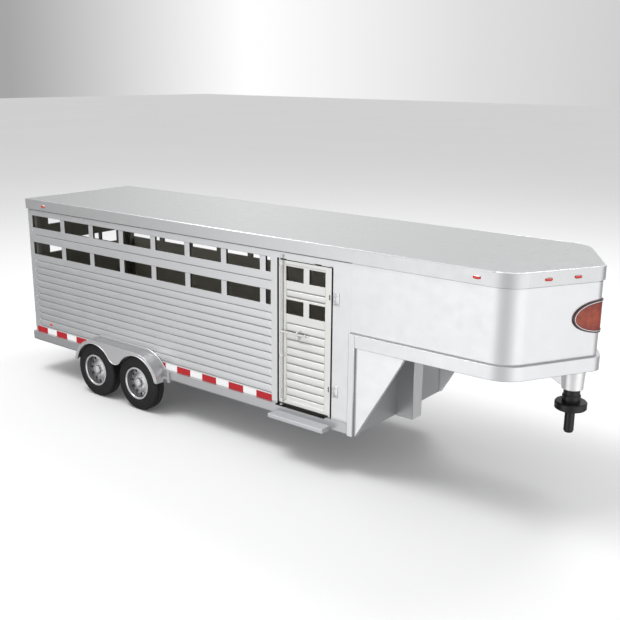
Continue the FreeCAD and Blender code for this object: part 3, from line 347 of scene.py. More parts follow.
# A darker copy for the corner posts' front faces and the jack column's sides: painted shade.
painted_shade_corner = silver_paint("silver_corner_painted_shade", (0.37, 0.373, 0.38), roughness=0.4)
# A lighter copy for the jack column's front and the roof's edge round: painted light and painted highlight.
painted_light_silver = silver_paint("silver_painted_light", (0.86, 0.865, 0.87), roughness=0.34)
# A lighter copy for the gussets: painted light.
painted_light_gussets = silver_paint("silver_gussets_painted_light", (0.80, 0.805, 0.81))
# A near-white copy for the coupler tube: painted light and painted highlight.
painted_light_tube = silver_paint("silver_tube_painted_light", (0.93, 0.93, 0.935), roughness=0.36, metallic=0.6)
# Near-black silver: painted shade under the slat joints' upper sides, on the pillars' lip and along the
# fenders' flange edges.
painted_shade_line = silver_paint("silver_painted_shade_line", (0.16, 0.162, 0.168), roughness=0.5, metallic=0.4)
# Darker silver: painted shade on the floors of the slat joints.
painted_shade_groove = silver_paint("silver_painted_shade_groove", (0.34, 0.342, 0.35), roughness=0.46, metallic=0.5)
# Slightly darker silver: faint painted shade in the joint along the nose's foot.
faint_painted_shade_groove = silver_paint("silver_faint_painted_shade_groove", (0.68, 0.675, 0.67), roughness=0.46, metallic=0.5)
# A lighter copy for the beads and rounds, which brightens their highlight lines: painted highlight.
painted_light_bead = smooth_silver("silver_bead_painted_light", (0.76, 0.76, 0.77), 0.34, 0.74)
wheel_paint = smooth_silver("silver_wheel", (0.78, 0.78, 0.79), 0.26, 0.85)
# Darker copies of the wheel silver for the rim's disc and its dark barrel: painted shade.
painted_shade_disc = smooth_silver("silver_disc_painted_shade", (0.68, 0.68, 0.69), 0.34, 0.8)
painted_shade_barrel = smooth_silver("silver_barrel_painted_shade", (0.16, 0.16, 0.165), 0.4, 0.7)
# The fender's top and curve in a darker copy, its side faces in a lighter copy: painted shade and painted
# light.
painted_shade_fender = brushed_silver("fender_silver_painted_shade", (0.52, 0.52, 0.53))
painted_light_fender_face = brushed_silver("fender_face_silver_painted_light", (0.70, 0.70, 0.71))
# Near-black bare plastic: painted shade in window and doorway edges, joint ends, gaps round the door and
# gate, the slot under the door and the rims' holes.
painted_shade_plastic = bare_plastic("plastic_in_painted_shade", (0.055, 0.053, 0.046))
posts = bare_plastic("post_plastic", (0.13, 0.127, 0.11))
inner_door = bare_plastic("inner_door_plastic", (0.22, 0.215, 0.185))
# Bare plastic inside the body, made pale as painted light.
inside = bare_plastic("inside_plastic_painted_light", INSIDE_PAINTED_LIGHT)
under = bare_plastic("under_plastic", (0.07, 0.07, 0.065))
steel = drawn_steel()
tape_red = reflective_tape("tape_red", (0.50, 0.006, 0.012))
tape_white = reflective_tape("tape_white", (0.96, 0.96, 0.98))
lens_red = red_lens()
rubber = tyre_rubber()

# Each look with the pieces that have it. Every other piece has the shell's paint.
LOOKS = [
    (painted_shade_roof, ["roof"]),
    (floor_look(RAIL, INSIDE_PAINTED_LIGHT), ["floor_pan"]),
    (step_paint, ["entry_step"]),
    (nose_paint, ["nose_shell"]),
    (painted_shade_frame, ["front_bulkhead"]),
    (painted_light_silver, ["jack_column"]),
    (painted_light_tube, ["coupler_tube"]),
    (painted_light_gussets, ["gusset_right", "gusset_left"]),
    (posts, ["rear_post_right", "rear_post_left", "rear_header"]),
    (under, ["axle_carrier_right", "axle_carrier_left"]),
    (steel, ["axle_front", "axle_rear", "side_latch_rod", "rear_latch_rod"]),
    (steel, ["rear_hinge_pins", "assembly_screws"]),
    (door_paint, ["side_door", "side_rod_guides", "side_latch_lever", "lever_keeper"]),
    (black_gloss(), ["hitch_pin"]),
    (lens_red, ["marker_lights", "side_lights", "tail_lights"]),
    (tape_red, ["tape_red_blocks"]),
    (tape_white, ["tape_white_blocks"]),
    (badge_rim(), ["badge_rim_plate"]),
    (badge_field(), ["badge_field_plate"]),
    (painted_shade_fender, ["fender_" + side for side in SIDES]),
    (wheel_paint, ["rim_%s_%s" % (axle, side) for axle in AXLES for side in SIDES]),
    (rubber, ["tyre_%s_%s" % (axle, side) for axle in AXLES for side in SIDES]),
]
look_of = {name: look for look, names in LOOKS for name in names}
for name, node in nodes.items():
    node.data.materials.clear()
    node.data.materials.append(look_of.get(name, shell))


# ---------------------------------------------------------------- faces with a look of their own, most of them painted shade

# How square to an axis a face's normal is.
FACING = 0.9
LEANING = 0.5
EDGE_ON = 0.1
# How close two depths are to count as the same.
SAME = 0.03 * MM

# How far behind the panel's face its slat joints lie, on the walls and on the side door.
WALL_JOINT = (0.18 * MM, 0.55 * MM)
DOOR_JOINT = (0.55 * MM, 1.3 * MM)
PILLAR_SINK = 0.3 * MM
NOSE_JOINT = 0.75 * MM
DOOR_FOOT_TO_PANES = 50 * MM
DOOR_STILE = 5 * MM
HINGE_NOTCH = 4 * MM
RAIL_FACE = 53 * MM
THRESHOLD_IN = 48.5 * MM
THRESHOLD_TALL = 2.2 * MM
GATE_OPENINGS_TALL = 40 * MM

# Distances from a wheel's axle, and depths behind its rim's lip.
DISC_REACH = 10.0 * MM
BARREL_REACH = (9.75 * MM, 10.6 * MM)
HOLES_REACH = (7.7 * MM, 9.83 * MM)
LIP_DEPTH = 0.3 * MM
HOLES_DEPTH = 4.0 * MM
DISC_DEPTH = 5.2 * MM


def repaint(name, look, wanted):
    """Give the faces of a piece for which wanted(centre, normal) is true another look."""
    mesh = nodes[name].data
    mesh.materials.append(look)
    slot = len(mesh.materials) - 1
    for face in mesh.polygons:
        if wanted(face.center, face.normal):
            face.material_index = slot


def wall_depth(c):
    """How deep a point lies behind the outer face of its side wall."""
    return wall_face - abs(c.y)


def wall_reveal(c, n):
    """The edges of the windows and the doorway, but not the wall's own edges."""
    within = walls[0].x + MM < c.x < walls[1].x - MM and walls[0].z + MM < c.z < eave - 3 * MM
    return within and abs(n.y) < EDGE_ON and abs(c.y) < wall_inner_face + MM


def row_lip(c, n):
    """The lip over the pillars that stand back between the windows."""
    return n.z < -FACING and abs(wall_depth(c) - PILLAR_SINK / 2) < SAME


def in_wall_joint(c):
    """In the wall's slat joints, but not on the pillars, which are about as deep."""
    return WALL_JOINT[0] < wall_depth(c) < WALL_JOINT[1] and abs(wall_depth(c) - PILLAR_SINK) > SAME


def in_door_joint(c):
    return DOOR_JOINT[0] < c.y - door[0].y < DOOR_JOINT[1]


def joint_looks(name, within):
    """Painted shade in slat joints: darkest under the upper slat and at their ends, lighter on their floor.
    """
    repaint(name, painted_shade_groove, lambda c, n: within(c) and abs(n.y) > FACING)
    repaint(name, painted_shade_line, lambda c, n: within(c) and abs(n.y) < LEANING and n.z < -0.3)
    repaint(name, painted_shade_plastic, lambda c, n: within(c) and abs(n.x) > FACING)


def door_edge(c, n):
    """The door's edges, the edges of its panes, and the notches at its hinges."""
    sunk = c.y - door[0].y
    rim = c.x < door[0].x + 0.3 * MM or c.x > door[1].x - 0.3 * MM or c.z > door[1].z - 3 * MM
    between_stiles = door[0].x + DOOR_STILE < c.x < door[1].x - DOOR_STILE
    in_panes = sunk > 0.9 * MM and between_stiles and c.z > door[0].z + DOOR_FOOT_TO_PANES
    at_notch = c.x > door[1].x - HINGE_NOTCH
    notch_side = at_notch and sunk < DOOR_JOINT[0] and abs(n.z) < LEANING and n.x < 0
    notch_floor = at_notch and sunk > 0.3 * MM and n.y < -FACING
    return abs(n.y) < EDGE_ON and (in_panes or rim or notch_side) or notch_floor


def threshold(c, n):
    """The slot in the floor pan's edge under the door."""
    within = sill - THRESHOLD_TALL < c.z < sill - 0.1 * MM and THRESHOLD_IN < -c.y < RAIL_FACE - 0.05 * MM
    return within and door[0].x - 1.5 * MM < c.x < door[1].x - 2.4 * MM


def gate_opening(c, n):
    """The edges of the rear gate's openings."""
    within = abs(c.y) < gate[1].y - MM and eave - GATE_OPENINGS_TALL < c.z < eave - 2 * MM
    return within and abs(n.x) < EDGE_ON and c.x > gate[0].x + 0.6 * MM


def looks_inward(c, n):
    """Faces of the nose that look in towards its middle."""
    return n.xy.dot(c.xy - nose_heart) < 0


def nose_floor(c, n):
    """The top of the nose's floor inside its rim, and the rim's inner side."""
    return c.z > pan[0].z + MM and (n.z > FACING and c.z < pan[1].z - MM or looks_inward(c, n))


def paint_body():
    """Painted shade in joints, on the edges of openings and on a few shaded faces, and bare plastic inside
    made pale as painted light, on the pieces of the body.
    """
    for side, out in SIDES.items():
        name = "side_panel_" + side
        # The walls' inner faces take the pale bare plastic, made pale as painted light.
        repaint(name, inside, lambda c, n: -n.y * out > FACING and abs(c.y) < wall_inner_face)
        # The edges of the windows and the doorway take near-black painted shade.
        repaint(name, painted_shade_plastic, wall_reveal)
        joint_looks(name, in_wall_joint)
        # The lip over the sunk pillars takes a line of painted shade.
        repaint(name, painted_shade_line, row_lip)
        # The corner posts' front faces take painted shade.
        repaint("corner_post_" + side, painted_shade_corner, lambda c, n: n.x > FACING)
    # The slot under the door takes near-black painted shade.
    repaint("floor_pan", painted_shade_plastic, threshold)
    # Faint painted shade in the joint along the foot of the nose.
    repaint("nose_shell", faint_painted_shade_groove, lambda c, n: c.z < nose[0].z + NOSE_JOINT)
    repaint("nose_shell", inside, lambda c, n: abs(n.z) < LEANING and looks_inward(c, n))
    repaint("nose_pan", inside, nose_floor)
    # The roof's band takes its own darker copy of the silver: painted shade.
    repaint("roof", painted_shade_band, lambda c, n: abs(n.z) < LEANING)
    repaint("roof", inside, lambda c, n: n.z < -FACING and c.z > roof_top - 3 * MM)
    # The jack column's sides take painted shade.
    repaint("jack_column", painted_shade_corner, lambda c, n: abs(n.y) > FACING)
    repaint("front_bulkhead", inside, lambda c, n: n.x < -FACING or n.z > FACING)


def paint_doors():
    """Painted shade in joints and on edges outside, and bare plastic inside, on the side door and the rear
    gate.
    """
    repaint("side_door", inner_door, lambda c, n: n.y > FACING and c.y > -wall_inner_face - 1.5 * MM)
    joint_looks("side_door", in_door_joint)
    # The door's edges and the edges of its panes take near-black painted shade.
    repaint("side_door", painted_shade_plastic, door_edge)
    repaint("rear_gate", inner_door, lambda c, n: n.x > FACING and c.x > gate[1].x - MM)
    # The edges of the gate's openings take near-black painted shade.
    repaint("rear_gate", painted_shade_plastic, gate_opening)


def paint_rim(name):
    """Painted shade on a rim: a darker disc, a dark barrel, and near-black hand holes with a near-black back
    behind them; the lip keeps the lighter wheel paint.
    """
    low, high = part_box(name)
    centre = (low + high) / 2
    outer = max(abs(low.y), abs(high.y))

    def reach(c):
        return math.hypot(c.x - centre.x, c.z - centre.z)

    def depth(c):
        return outer - abs(c.y)

    def on_disc(c, n):
        return depth(c) < DISC_DEPTH and reach(c) < DISC_REACH

    def on_barrel(c, n):
        return depth(c) > LIP_DEPTH and BARREL_REACH[0] < reach(c) < BARREL_REACH[1] and abs(n.y) < 0.6

    def dark(c, n):
        in_hole = depth(c) > HOLES_DEPTH and HOLES_REACH[0] < reach(c) < HOLES_REACH[1] and abs(n.y) < 0.3
        return in_hole or depth(c) > DISC_DEPTH

    # The disc and the barrel take painted shade.
    repaint(name, painted_shade_disc, on_disc)
    repaint(name, painted_shade_barrel, on_barrel)
    # The hand holes and the back behind them take near-black painted shade.
    repaint(name, painted_shade_plastic, dark)


paint_body()
paint_doors()
for axle in AXLES:
    for side in SIDES:
        paint_rim("rim_%s_%s" % (axle, side))


# ---------------------------------------------------------------- mesh helpers

def piece(name, mesh, look, body, sharp_degrees=None):
    """Finish a bmesh as a named, smooth object with one look, riding on a body.

    Edges that turn by more than sharp_degrees stay sharp.
    """
    bmesh.ops.recalc_face_normals(mesh, faces=mesh.faces)
    data = bpy.data.meshes.new(name)
    mesh.to_mesh(data)
    mesh.free()
    data.polygons.foreach_set("use_smooth", [True] * len(data.polygons))
    data.materials.append(look)
    if sharp_degrees:
        data.set_sharp_from_angle(angle=math.radians(sharp_degrees))
    made = bpy.data.objects.new(name, data)
    bpy.context.scene.collection.objects.link(made)
    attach(made, body)
    return made


def ring(mesh, centre, first, second, count):
    """A closed ring of vertices round a centre, with its half axes first and second."""
    turns = [2 * math.pi * k / count for k in range(count)]
    return [mesh.verts.new(centre + first * math.cos(turn) + second * math.sin(turn)) for turn in turns]


def stretch_between(mesh, rings, closed):
    """Join rings of vertices, each a closed loop, with faces."""
    count = len(rings)
    for n in range(count if closed else count - 1):
        first, second = rings[n], rings[(n + 1) % count]
        size = len(first)
        for k in range(size):
            mesh.faces.new((first[k], first[(k + 1) % size], second[(k + 1) % size], second[k]))


def solid_between(mesh, rings):
    """A closed solid through rings of vertices, capped at both ends."""
    stretch_between(mesh, rings, False)
    mesh.faces.new(rings[0])
    mesh.faces.new(rings[-1])


def tube(mesh, points, radius):
    """A closed round bar along a line of points."""
    rings = []
    for n, point in enumerate(points):
        along = (points[min(n + 1, len(points) - 1)] - points[max(n - 1, 0)]).normalized()
        beside = beside - along * beside.dot(along) if rings else along.orthogonal()
        beside.normalize()
        rings.append(ring(mesh, point, beside * radius, along.cross(beside) * radius, 10))
    solid_between(mesh, rings)


def extent(points):
    """The lowest and the highest corner of the box round some points."""
    low = Vector([min(point[k] for point in points) for k in range(3)])
    high = Vector([max(point[k] for point in points) for k in range(3)])
    return low, high


def middle_of(points):
    return sum(points, Vector()) / len(points)


def outer_face(name):
    """How far out along Y a piece reaches."""
    return max(abs(corner.y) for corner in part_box(name))


def loose_parts(name):
    """The vertex positions of each separate solid in a CAD node."""
    mesh = bmesh.new()
    mesh.from_mesh(nodes[name].data)
    bmesh.ops.remove_doubles(mesh, verts=mesh.verts, dist=1e-6)
    left = set(mesh.verts)
    parts = []
    while left:
        todo = [left.pop()]
        found = []
        while todo:
            vert = todo.pop()
            found.append(vert.co.copy())
            for edge in vert.link_edges:
                other = edge.other_vert(vert)
                if other in left:
                    left.remove(other)
                    todo.append(other)
        parts.append(found)
    mesh.free()
    return sorted(parts, key=lambda found: tuple(found[0]))


def tree_of(name):
    """A piece's surface, for finding the nearest point or the point that a ray hits."""
    data = nodes[name].data
    return BVHTree.FromPolygons([v.co for v in data.vertices], [p.vertices for p in data.polygons])


# ---------------------------------------------------------------- tyres

TREAD_PITCHES = 44
STEPS_PER_PITCH = 4
LUG_WIDE = 0.9 * MM
TREAD_DEPTH = 0.55 * MM
RIM_SEAT_DEPTH = 0.5 * MM


def tyre_profile(radius, width, seat):
    """(distance from the axle, distance across, share of the tread's cuts there) round a tyre."""
    edge = width / 2
    floor = radius - TREAD_DEPTH
    wall = [(seat + out * MM, edge - inward * MM, 0.0) for out, inward in (
        (0.1, 0.9), (0.9, 0.35), (1.9, 0.0), (3.0, 0.02), (3.3, 0.22), (4.6, 0.12), (4.9, 0.3), (6.6, 0.5))]
    shoulder = [(radius - 1.1 * MM, edge - 0.75 * MM, 0.0), (radius - 0.45 * MM, edge - 1.1 * MM, 0.0)]
    tread = [(radius - 0.08 * MM, edge - 1.6 * MM, 1.0), (radius, edge - 2.2 * MM, 1.0)]
    channel = [(radius, 1.95 * MM, 1.0), (floor, 1.8 * MM, 0.0)]
    channel += [(floor, 1.2 * MM, 1.0), (radius, 1.05 * MM, 1.0)]
    half = wall + shoulder + tread + channel
    return half + [(r, -y, cut) for r, y, cut in reversed(half)]


def detailed_tyre(axle, side):
    """A tyre with two tread channels, slanted lugs and stepped sidewalls, in place of the plain one."""
    name = "tyre_%s_%s" % (axle, side)
    low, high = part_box(name)
    rim_low, rim_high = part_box("rim_%s_%s" % (axle, side))
    centre = (low + high) / 2
    seat = (rim_high.z - rim_low.z) / 2 - RIM_SEAT_DEPTH
    profile = tyre_profile((high.z - low.z) / 2, high.y - low.y, seat)
    mesh = bmesh.new()
    total = TREAD_PITCHES * STEPS_PER_PITCH
    rings = []
    for n in range(total):
        angle = 2 * math.pi * n / total
        rings.append([])
        for r, y, cut in profile:
            slant = 1 if y > 0 else -1
            in_cut = (n + slant * round(abs(y) / LUG_WIDE)) % STEPS_PER_PITCH == 0
            reach = r - (TREAD_DEPTH * cut if in_cut else 0.0)
            spot = Vector((reach * math.cos(angle), y, reach * math.sin(angle)))
            rings[-1].append(mesh.verts.new(centre + spot))
    stretch_between(mesh, rings, True)
    made = piece(name + "_treaded", mesh, rubber, axle + "_axle", 38)
    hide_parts(name)


for axle in AXLES:
    for side in SIDES:
        detailed_tyre(axle, side)


# ---------------------------------------------------------------- slats

SLAT_TALLEST = 7 * MM
SLAT_ROOT = 0.15 * MM
SLAT_STEPS = 8
# How much of a slat's crown is left near its ends: (distance in from the end, share).
SLAT_END = ((0.0, 0.1), (0.5 * MM, 0.9), (1.2 * MM, 1.0))


def joint_rows(node, depth):
    """Where a panel's slat joints are: their two ends by their height, from the floors of the joints."""
    mesh = nodes[node].data
    outer = max(abs(v.co.y) for v in mesh.vertices)
    rows = {}
    for face in mesh.polygons:
        if abs(face.normal.y) > FACING and abs(outer - depth - abs(face.center.y)) < 0.02 * MM:
            low, high = extent([mesh.vertices[k].co for k in face.vertices])
            rows[round((low.z + high.z) / 2, 5)] = (low.x, high.x)
    return rows


def crowned_slats(node, name, look, body, joint_depth, face_depth, mouth, crown):
    """Gently rounded faces on the slats between a panel's joints.

    joint_depth and face_depth are how far the joints' floors and the slats lie behind the panel's face, and
    mouth is how tall a joint is.
    """
    rows = joint_rows(node, joint_depth)
    out = -1 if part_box(node)[0].y < 0 else 1
    face = outer_face(node) - face_depth
    levels = sorted(rows)
    mesh = bmesh.new()
    for below, above in zip(levels, levels[1:]):
        if above - below > SLAT_TALLEST:
            continue
        start, end = rows[below]
        bottom, top = below + mouth / 2, above - mouth / 2
        stations = [(start + inward, share) for inward, share in SLAT_END]
        stations += [(end - inward, share) for inward, share in reversed(SLAT_END)]
        rings = []
        for x, share in stations:
            root = out * (face - SLAT_ROOT)
            spots = [(x, root, bottom), (x, root, top)]
            for k in range(SLAT_STEPS + 1):
                climb = 1 - 2 * k / SLAT_STEPS
                lift = crown * (1 - climb * climb) * share
                spots.append((x, out * (face + lift), (top + bottom) / 2 + climb * (top - bottom) / 2))
            rings.append([mesh.verts.new(spot) for spot in spots])
        solid_between(mesh, rings)
    piece(name, mesh, look, body, 30)


crowned_slats("side_door", "door_slats", door_paint, "side_door",
              joint_depth=0.95 * MM, face_depth=0.5 * MM, mouth=1.2 * MM, crown=0.09 * MM)
for side in SIDES:
    crowned_slats("side_panel_" + side, "wall_slats_" + side, shell, "trailer",
                  joint_depth=0.45 * MM, face_depth=0.0, mouth=1.0 * MM, crown=0.05 * MM)


# ---------------------------------------------------------------- lenses

RIB_PITCH = 0.28 * MM
LENS_ROOT = 0.05 * MM
LENS_STEPS = 8
PAINTED_HIGHLIGHT_LEVEL = 0.28


def lens(mesh, centre, out, half_long, half_tall, depth):
    """A domed lens with moulded ribs and rounded ends, standing out from a face."""
    along = UP.cross(out).normalized()
    ribs = max(6, int(half_long / RIB_PITCH))
    rings = []
    for n in range(2 * ribs + 1):
        across = -1 + n / ribs
        ridge = 1.0 if n % 2 else 0.9
        end = math.sqrt(max(0.0, 1 - abs(across) ** 6)) if abs(across) < 1 else 0.35
        middle = centre + along * (across * half_long)
        spots = []
        for k in range(LENS_STEPS + 1):
            turn = math.pi * k / LENS_STEPS
            lift = max(0.0, math.sin(turn)) ** 0.5 * depth * ridge * end
            spots.append(middle + UP * (math.cos(turn) * half_tall * max(end, 0.6)) + out * lift)
        spots.append(middle - out * LENS_ROOT)
        rings.append([mesh.verts.new(spot) for spot in spots])
    solid_between(mesh, rings)


def lenses(node, name, backing, highlight_top=True):
    """Detailed lenses in the places of a CAD node's plain blocks, the top of each painted silver: a painted
    highlight, partly a silver hood.

    backing names the pieces that the blocks stand on.
    """
    backs = [tree_of(piece_name) for piece_name in backing]
    mesh = bmesh.new()
    highlight_feet = []
    for found in loose_parts(node):
        centre = middle_of(found)
        point, out, _, _ = min((back.find_nearest(centre) for back in backs), key=lambda hit: hit[3])
        out = Vector((out.x, out.y, 0)).normalized()
        along = UP.cross(out).normalized()
        reach = [(v - centre).dot(along) for v in found]
        depth = max((v - point).dot(out) for v in found)
        low, high = extent(found)
        tall = high.z - low.z
        foot = centre - out * (centre - point).dot(out)
        lens(mesh, foot, out, (max(reach) - min(reach)) / 2, tall / 2, depth)
        highlight_feet.append((foot, tall * PAINTED_HIGHLIGHT_LEVEL))
    made = piece(name, mesh, lens_red, "trailer", 40)
    # The top of each lens takes the shell's silver: a painted highlight, partly a silver hood.
    if highlight_top:
        made.data.materials.append(shell)
        for face in made.data.polygons:
            foot, level = min(highlight_feet, key=lambda hood: (hood[0] - face.center).length)
            face.material_index = int(face.center.z > foot.z + level)
    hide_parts(node)


lenses("marker_lights", "marker_lenses", ["roof"])
lenses("tail_lights", "tail_lenses", ["floor_pan"], highlight_top=False)
lenses("side_lights", "side_lenses", ["side_panel_right", "side_panel_left"], highlight_top=False)


# ---------------------------------------------------------------- fender beads

# Radii round the wheel hubs: the wheel arches, the flange on the wall, and the shoulder.
ARCH = 20.9 * MM
FLANGE = 24.6 * MM
SHOULDER = 23.2 * MM
FLANGE_THICK = 0.9 * MM
# Heights of the web between the wheels and of the fender's feet.
WEB_LOW = 29.7 * MM
FOOT = 25.3 * MM
BEAD = 0.4 * MM
CREASE = 0.25 * MM


def arc(centre, radius, first, last, steps):
    """Points (x, z) along an arc seen from the side; angles in degrees from forward to up."""
    turns = [math.radians(first + (last - first) * n / steps) for n in range(steps + 1)]
    return [(centre.x + radius * math.cos(turn), centre.z + radius * math.sin(turn)) for turn in turns]


def arch_edge():
    """The lower edge of a fender's face: over one wheel, round the web between them, over the other."""
    rear, front = wheel_hubs
    gap = (front.x - rear.x) / 2
    rise = WEB_LOW - rear.z
    web = (gap ** 2 + rise ** 2 - ARCH ** 2) / (2 * (ARCH - rise))
    lean = math.degrees(math.atan2(rise + web, gap))
    foot = math.degrees(math.asin((FOOT - rear.z) / ARCH))
    middle = Vector((rear.x + gap, 0, WEB_LOW + web))
    return (arc(rear, ARCH, 180 - foot, lean, 40) + arc(middle, web, 180 + lean, 360 - lean, 12)[1:-1]
            + arc(front, ARCH, 180 - lean, foot, 40))


def over_wheels(radius, low):
    """A line from the height low, over both wheels at a radius, and down to low again."""
    rear, front = wheel_hubs
    foot = math.degrees(math.asin((low - rear.z) / radius))
    return arc(rear, radius, 180 - foot, 90, 24) + arc(front, radius, 90, foot, 24)


def at_depth(points, y):
    """The (x, z) points as places in space at y."""
    return [Vector((x, y, z)) for x, z in points]


def flange_edge(c, n):
    """The upper edge of a fender's flange, where it meets the wall."""
    return abs(n.y) < EDGE_ON and c.z > sill and abs(c.y) < FLANGE_THICK + wall_face - 0.1 * MM


def fender_beads(side, out):
    """Rolled lips along a fender's wheel arches, its shoulder and its flange on the wall."""
    name = "fender_" + side
    face = outer_face(name)
    flange_face = wall_face + FLANGE_THICK
    mesh = bmesh.new()
    tube(mesh, at_depth(arch_edge(), out * (face - BEAD * 0.4)), BEAD)
    tube(mesh, at_depth(over_wheels(FLANGE - BEAD * 0.6, sill), out * (flange_face - BEAD * 0.4)), BEAD)
    tube(mesh, at_depth(over_wheels(SHOULDER - CREASE * 0.8, FOOT), out * (face - CREASE * 0.8)), CREASE)
    piece("fender_beads_" + side, mesh, painted_light_bead, "trailer")
    # The flange's upper edge takes painted shade.
    repaint(name, painted_shade_line, flange_edge)
    # The fender's side faces take the lighter copy: painted light.
    repaint(name, painted_light_fender_face, lambda c, n: abs(n.y) > FACING)


for side, out in SIDES.items():
    fender_beads(side, out)


# ---------------------------------------------------------------- rounded corners

CORNER = 0.35 * MM
CORNER_INSET = CORNER * 0.85
ROOF_ROUND = 0.4 * MM
ROOF_ROUND_INSET = 0.28 * MM


def upright_corner(mesh, x, y, foot):
    """A small round from a piece's foot up to the nose's floor."""
    tube(mesh, [Vector((x, y, foot + 0.1 * MM)), Vector((x, y, pan[0].z))], CORNER)


def rounded_corners():
    """Small rounds along the sharp outer corners of the jack column, the corner posts and the gussets."""
    mesh = bmesh.new()
    low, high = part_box("jack_column")
    for y in (low.y + CORNER_INSET, high.y - CORNER_INSET):
        upright_corner(mesh, high.x - CORNER_INSET, y, low.z)
    for side, out in SIDES.items():
        post = "corner_post_" + side
        low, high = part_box(post)
        upright_corner(mesh, high.x - CORNER_INSET, out * (outer_face(post) - CORNER_INSET), low.z)
        gusset = "gusset_" + side
        low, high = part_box(gusset)
        y = out * (outer_face(gusset) - CORNER_INSET)
        start = Vector((low.x + 1.2 * MM, y, low.z + CORNER_INSET))
        tube(mesh, [start, Vector((high.x - CORNER_INSET * 1.3, y, high.z))], CORNER)
    piece("moulded_corners", mesh, painted_light_bead, "trailer")


def roof_edge():
    """A small round along the roof's upper edge, where the sheet turns down into the band."""
    level = roof_top - ROOF_ROUND_INSET
    rim = [v.co.xy for v in nodes["roof"].data.vertices if v.co.z > level]
    loop = [rim[k] for k in convex_hull_2d(rim)]
    points = []
    for n, corner in enumerate(loop):
        ahead = (loop[(n + 1) % len(loop)] - corner).normalized()
        behind = (corner - loop[n - 1]).normalized()
        inward = (ahead + behind).orthogonal().normalized()
        lean = max(inward.dot(ahead.orthogonal()), 0.5)
        points.append(Vector((*(corner + inward * ROOF_ROUND_INSET / lean), level)))
    mesh = bmesh.new()
    tube(mesh, points + points[:1], ROOF_ROUND)
    # The roof's edge round takes the lighter copy of the silver as a painted highlight.
    piece("roof_edge", mesh, painted_light_silver, "trailer")


rounded_corners()
roof_edge()


# ---------------------------------------------------------------- rivets

RIVET_TALL = 0.3 * MM


def domed_rivets():
    """Round heads in the places of the plain rivets."""
    mesh = bmesh.new()
    for found in loose_parts("wall_rivets"):
        centre = middle_of(found)
        out = Vector((0, math.copysign(1, centre.y), 0))
        inner = min(abs(v.y) for v in found)
        low, high = extent(found)
        radius = (high.x - low.x) / 2
        foot = Vector((centre.x, out.y * inner, centre.z))
        rings = []
        for level in range(4):
            # The last ring stops short of the dome's top, which leaves a small flat cap.
            lean = math.radians(90 * level / 3.4)
            flat = radius * math.cos(lean)
            rings.append(ring(mesh, foot + out * RIVET_TALL * math.sin(lean), FORWARD * flat, UP * flat, 12))
        solid_between(mesh, rings)
    made = piece("rivet_heads", mesh, shell, "trailer")
    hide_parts("wall_rivets")


domed_rivets()


# ---------------------------------------------------------------- side door hinges

LEAF_THICK = 0.4 * MM
LEAF_ROUND = 0.12 * MM
KNUCKLES = 3
KNUCKLE_GAP = 0.25 * MM
KNUCKLE_LIP = 0.06 * MM
# (radius, height over the leaf) up a screw head.
SCREW_HEAD = ((0.55 * MM, 0.0), (0.5 * MM, 0.14 * MM), (0.3 * MM, 0.22 * MM), (0.08 * MM, 0.24 * MM))


def plate(mesh, low, high):
    """A thin plate whose edges are softened on the side that looks along -Y."""
    made = bmesh.ops.create_cube(mesh, size=1)["verts"]
    middle = (low + high) / 2
    for vert in made:
        vert.co = middle + vert.co * (high - low)
    edges = {edge for vert in made for edge in vert.link_edges}
    soft = [edge for edge in edges if all(v.co.y < middle.y for v in edge.verts)]
    bmesh.ops.bevel(mesh, geom=soft, offset=LEAF_ROUND, segments=2, affect="EDGES", profile=0.5)


def knuckle(mesh, foot, tall):
    """One turn of a hinge's barrel, with its rims slightly drawn in."""
    narrow, full = 0.42 * MM, 0.5 * MM
    levels = [(0.0, narrow), (KNUCKLE_LIP, full), (tall - KNUCKLE_LIP, full), (tall, narrow)]
    rings = []
    for z, radius in levels:
        rings.append(ring(mesh, foot + UP * z, FORWARD * radius, Vector((0, -radius, 0)), 14))
    solid_between(mesh, rings)


def screw_head(mesh, foot):
    rings = []
    for radius, lift in SCREW_HEAD:
        rings.append(ring(mesh, foot - Vector((0, lift, 0)), FORWARD * radius, UP * radius, 12))
    solid_between(mesh, rings)


def side_hinges():
    """Flat hinge leaves with a three-knuckle barrel and two screw heads each."""
    mesh = bmesh.new()
    for found in loose_parts("side_hinge_barrels"):
        low, high = extent(found)
        face = high.y
        leaf_face = face - LEAF_THICK
        plate(mesh, Vector((low.x + 0.9 * MM, leaf_face, low.z)), Vector((high.x, face, high.z)))
        tall = (high.z - low.z - (KNUCKLES - 1) * KNUCKLE_GAP) / KNUCKLES
        for level in range(KNUCKLES):
            foot_z = low.z + level * (tall + KNUCKLE_GAP)
            knuckle(mesh, Vector((low.x + 0.55 * MM, face - 0.35 * MM, foot_z)), tall)
        for share in (0.2, 0.8):
            x = (low.x + high.x) / 2 + 0.7 * MM
            screw_head(mesh, Vector((x, leaf_face, low.z + share * (high.z - low.z))))
    made = piece("side_hinge_detail", mesh, shell, "trailer", 40)
    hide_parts("side_hinge_barrels")


side_hinges()


# ---------------------------------------------------------------- badge ring

BADGE_STEPS = 120
BADGE_GROW = 0.35 * MM
BADGE_BEAD = 0.16 * MM
BADGE_BEAD_WIDER = 1.6


def badge_path():
    """Points on the badge's rim, just outside its field."""
    surface_tree = tree_of("badge_rim_plate")
    low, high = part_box("badge_field_plate")
    middle = (low + high) / 2
    wide = (high.y - low.y) / 2 + BADGE_GROW
    tall = (high.z - low.z) / 2 + BADGE_GROW
    path = []
    for n in range(BADGE_STEPS):
        turn = 2 * math.pi * n / BADGE_STEPS
        y = middle.y + wide * math.cos(turn)
        z = middle.z + tall * math.sin(turn)
        hit = surface_tree.ray_cast(Vector((cad_box[1].x + 20 * MM, y, z)), -FORWARD)[0]
        path.append(hit or Vector((path[-1].x, y, z)))
    return path


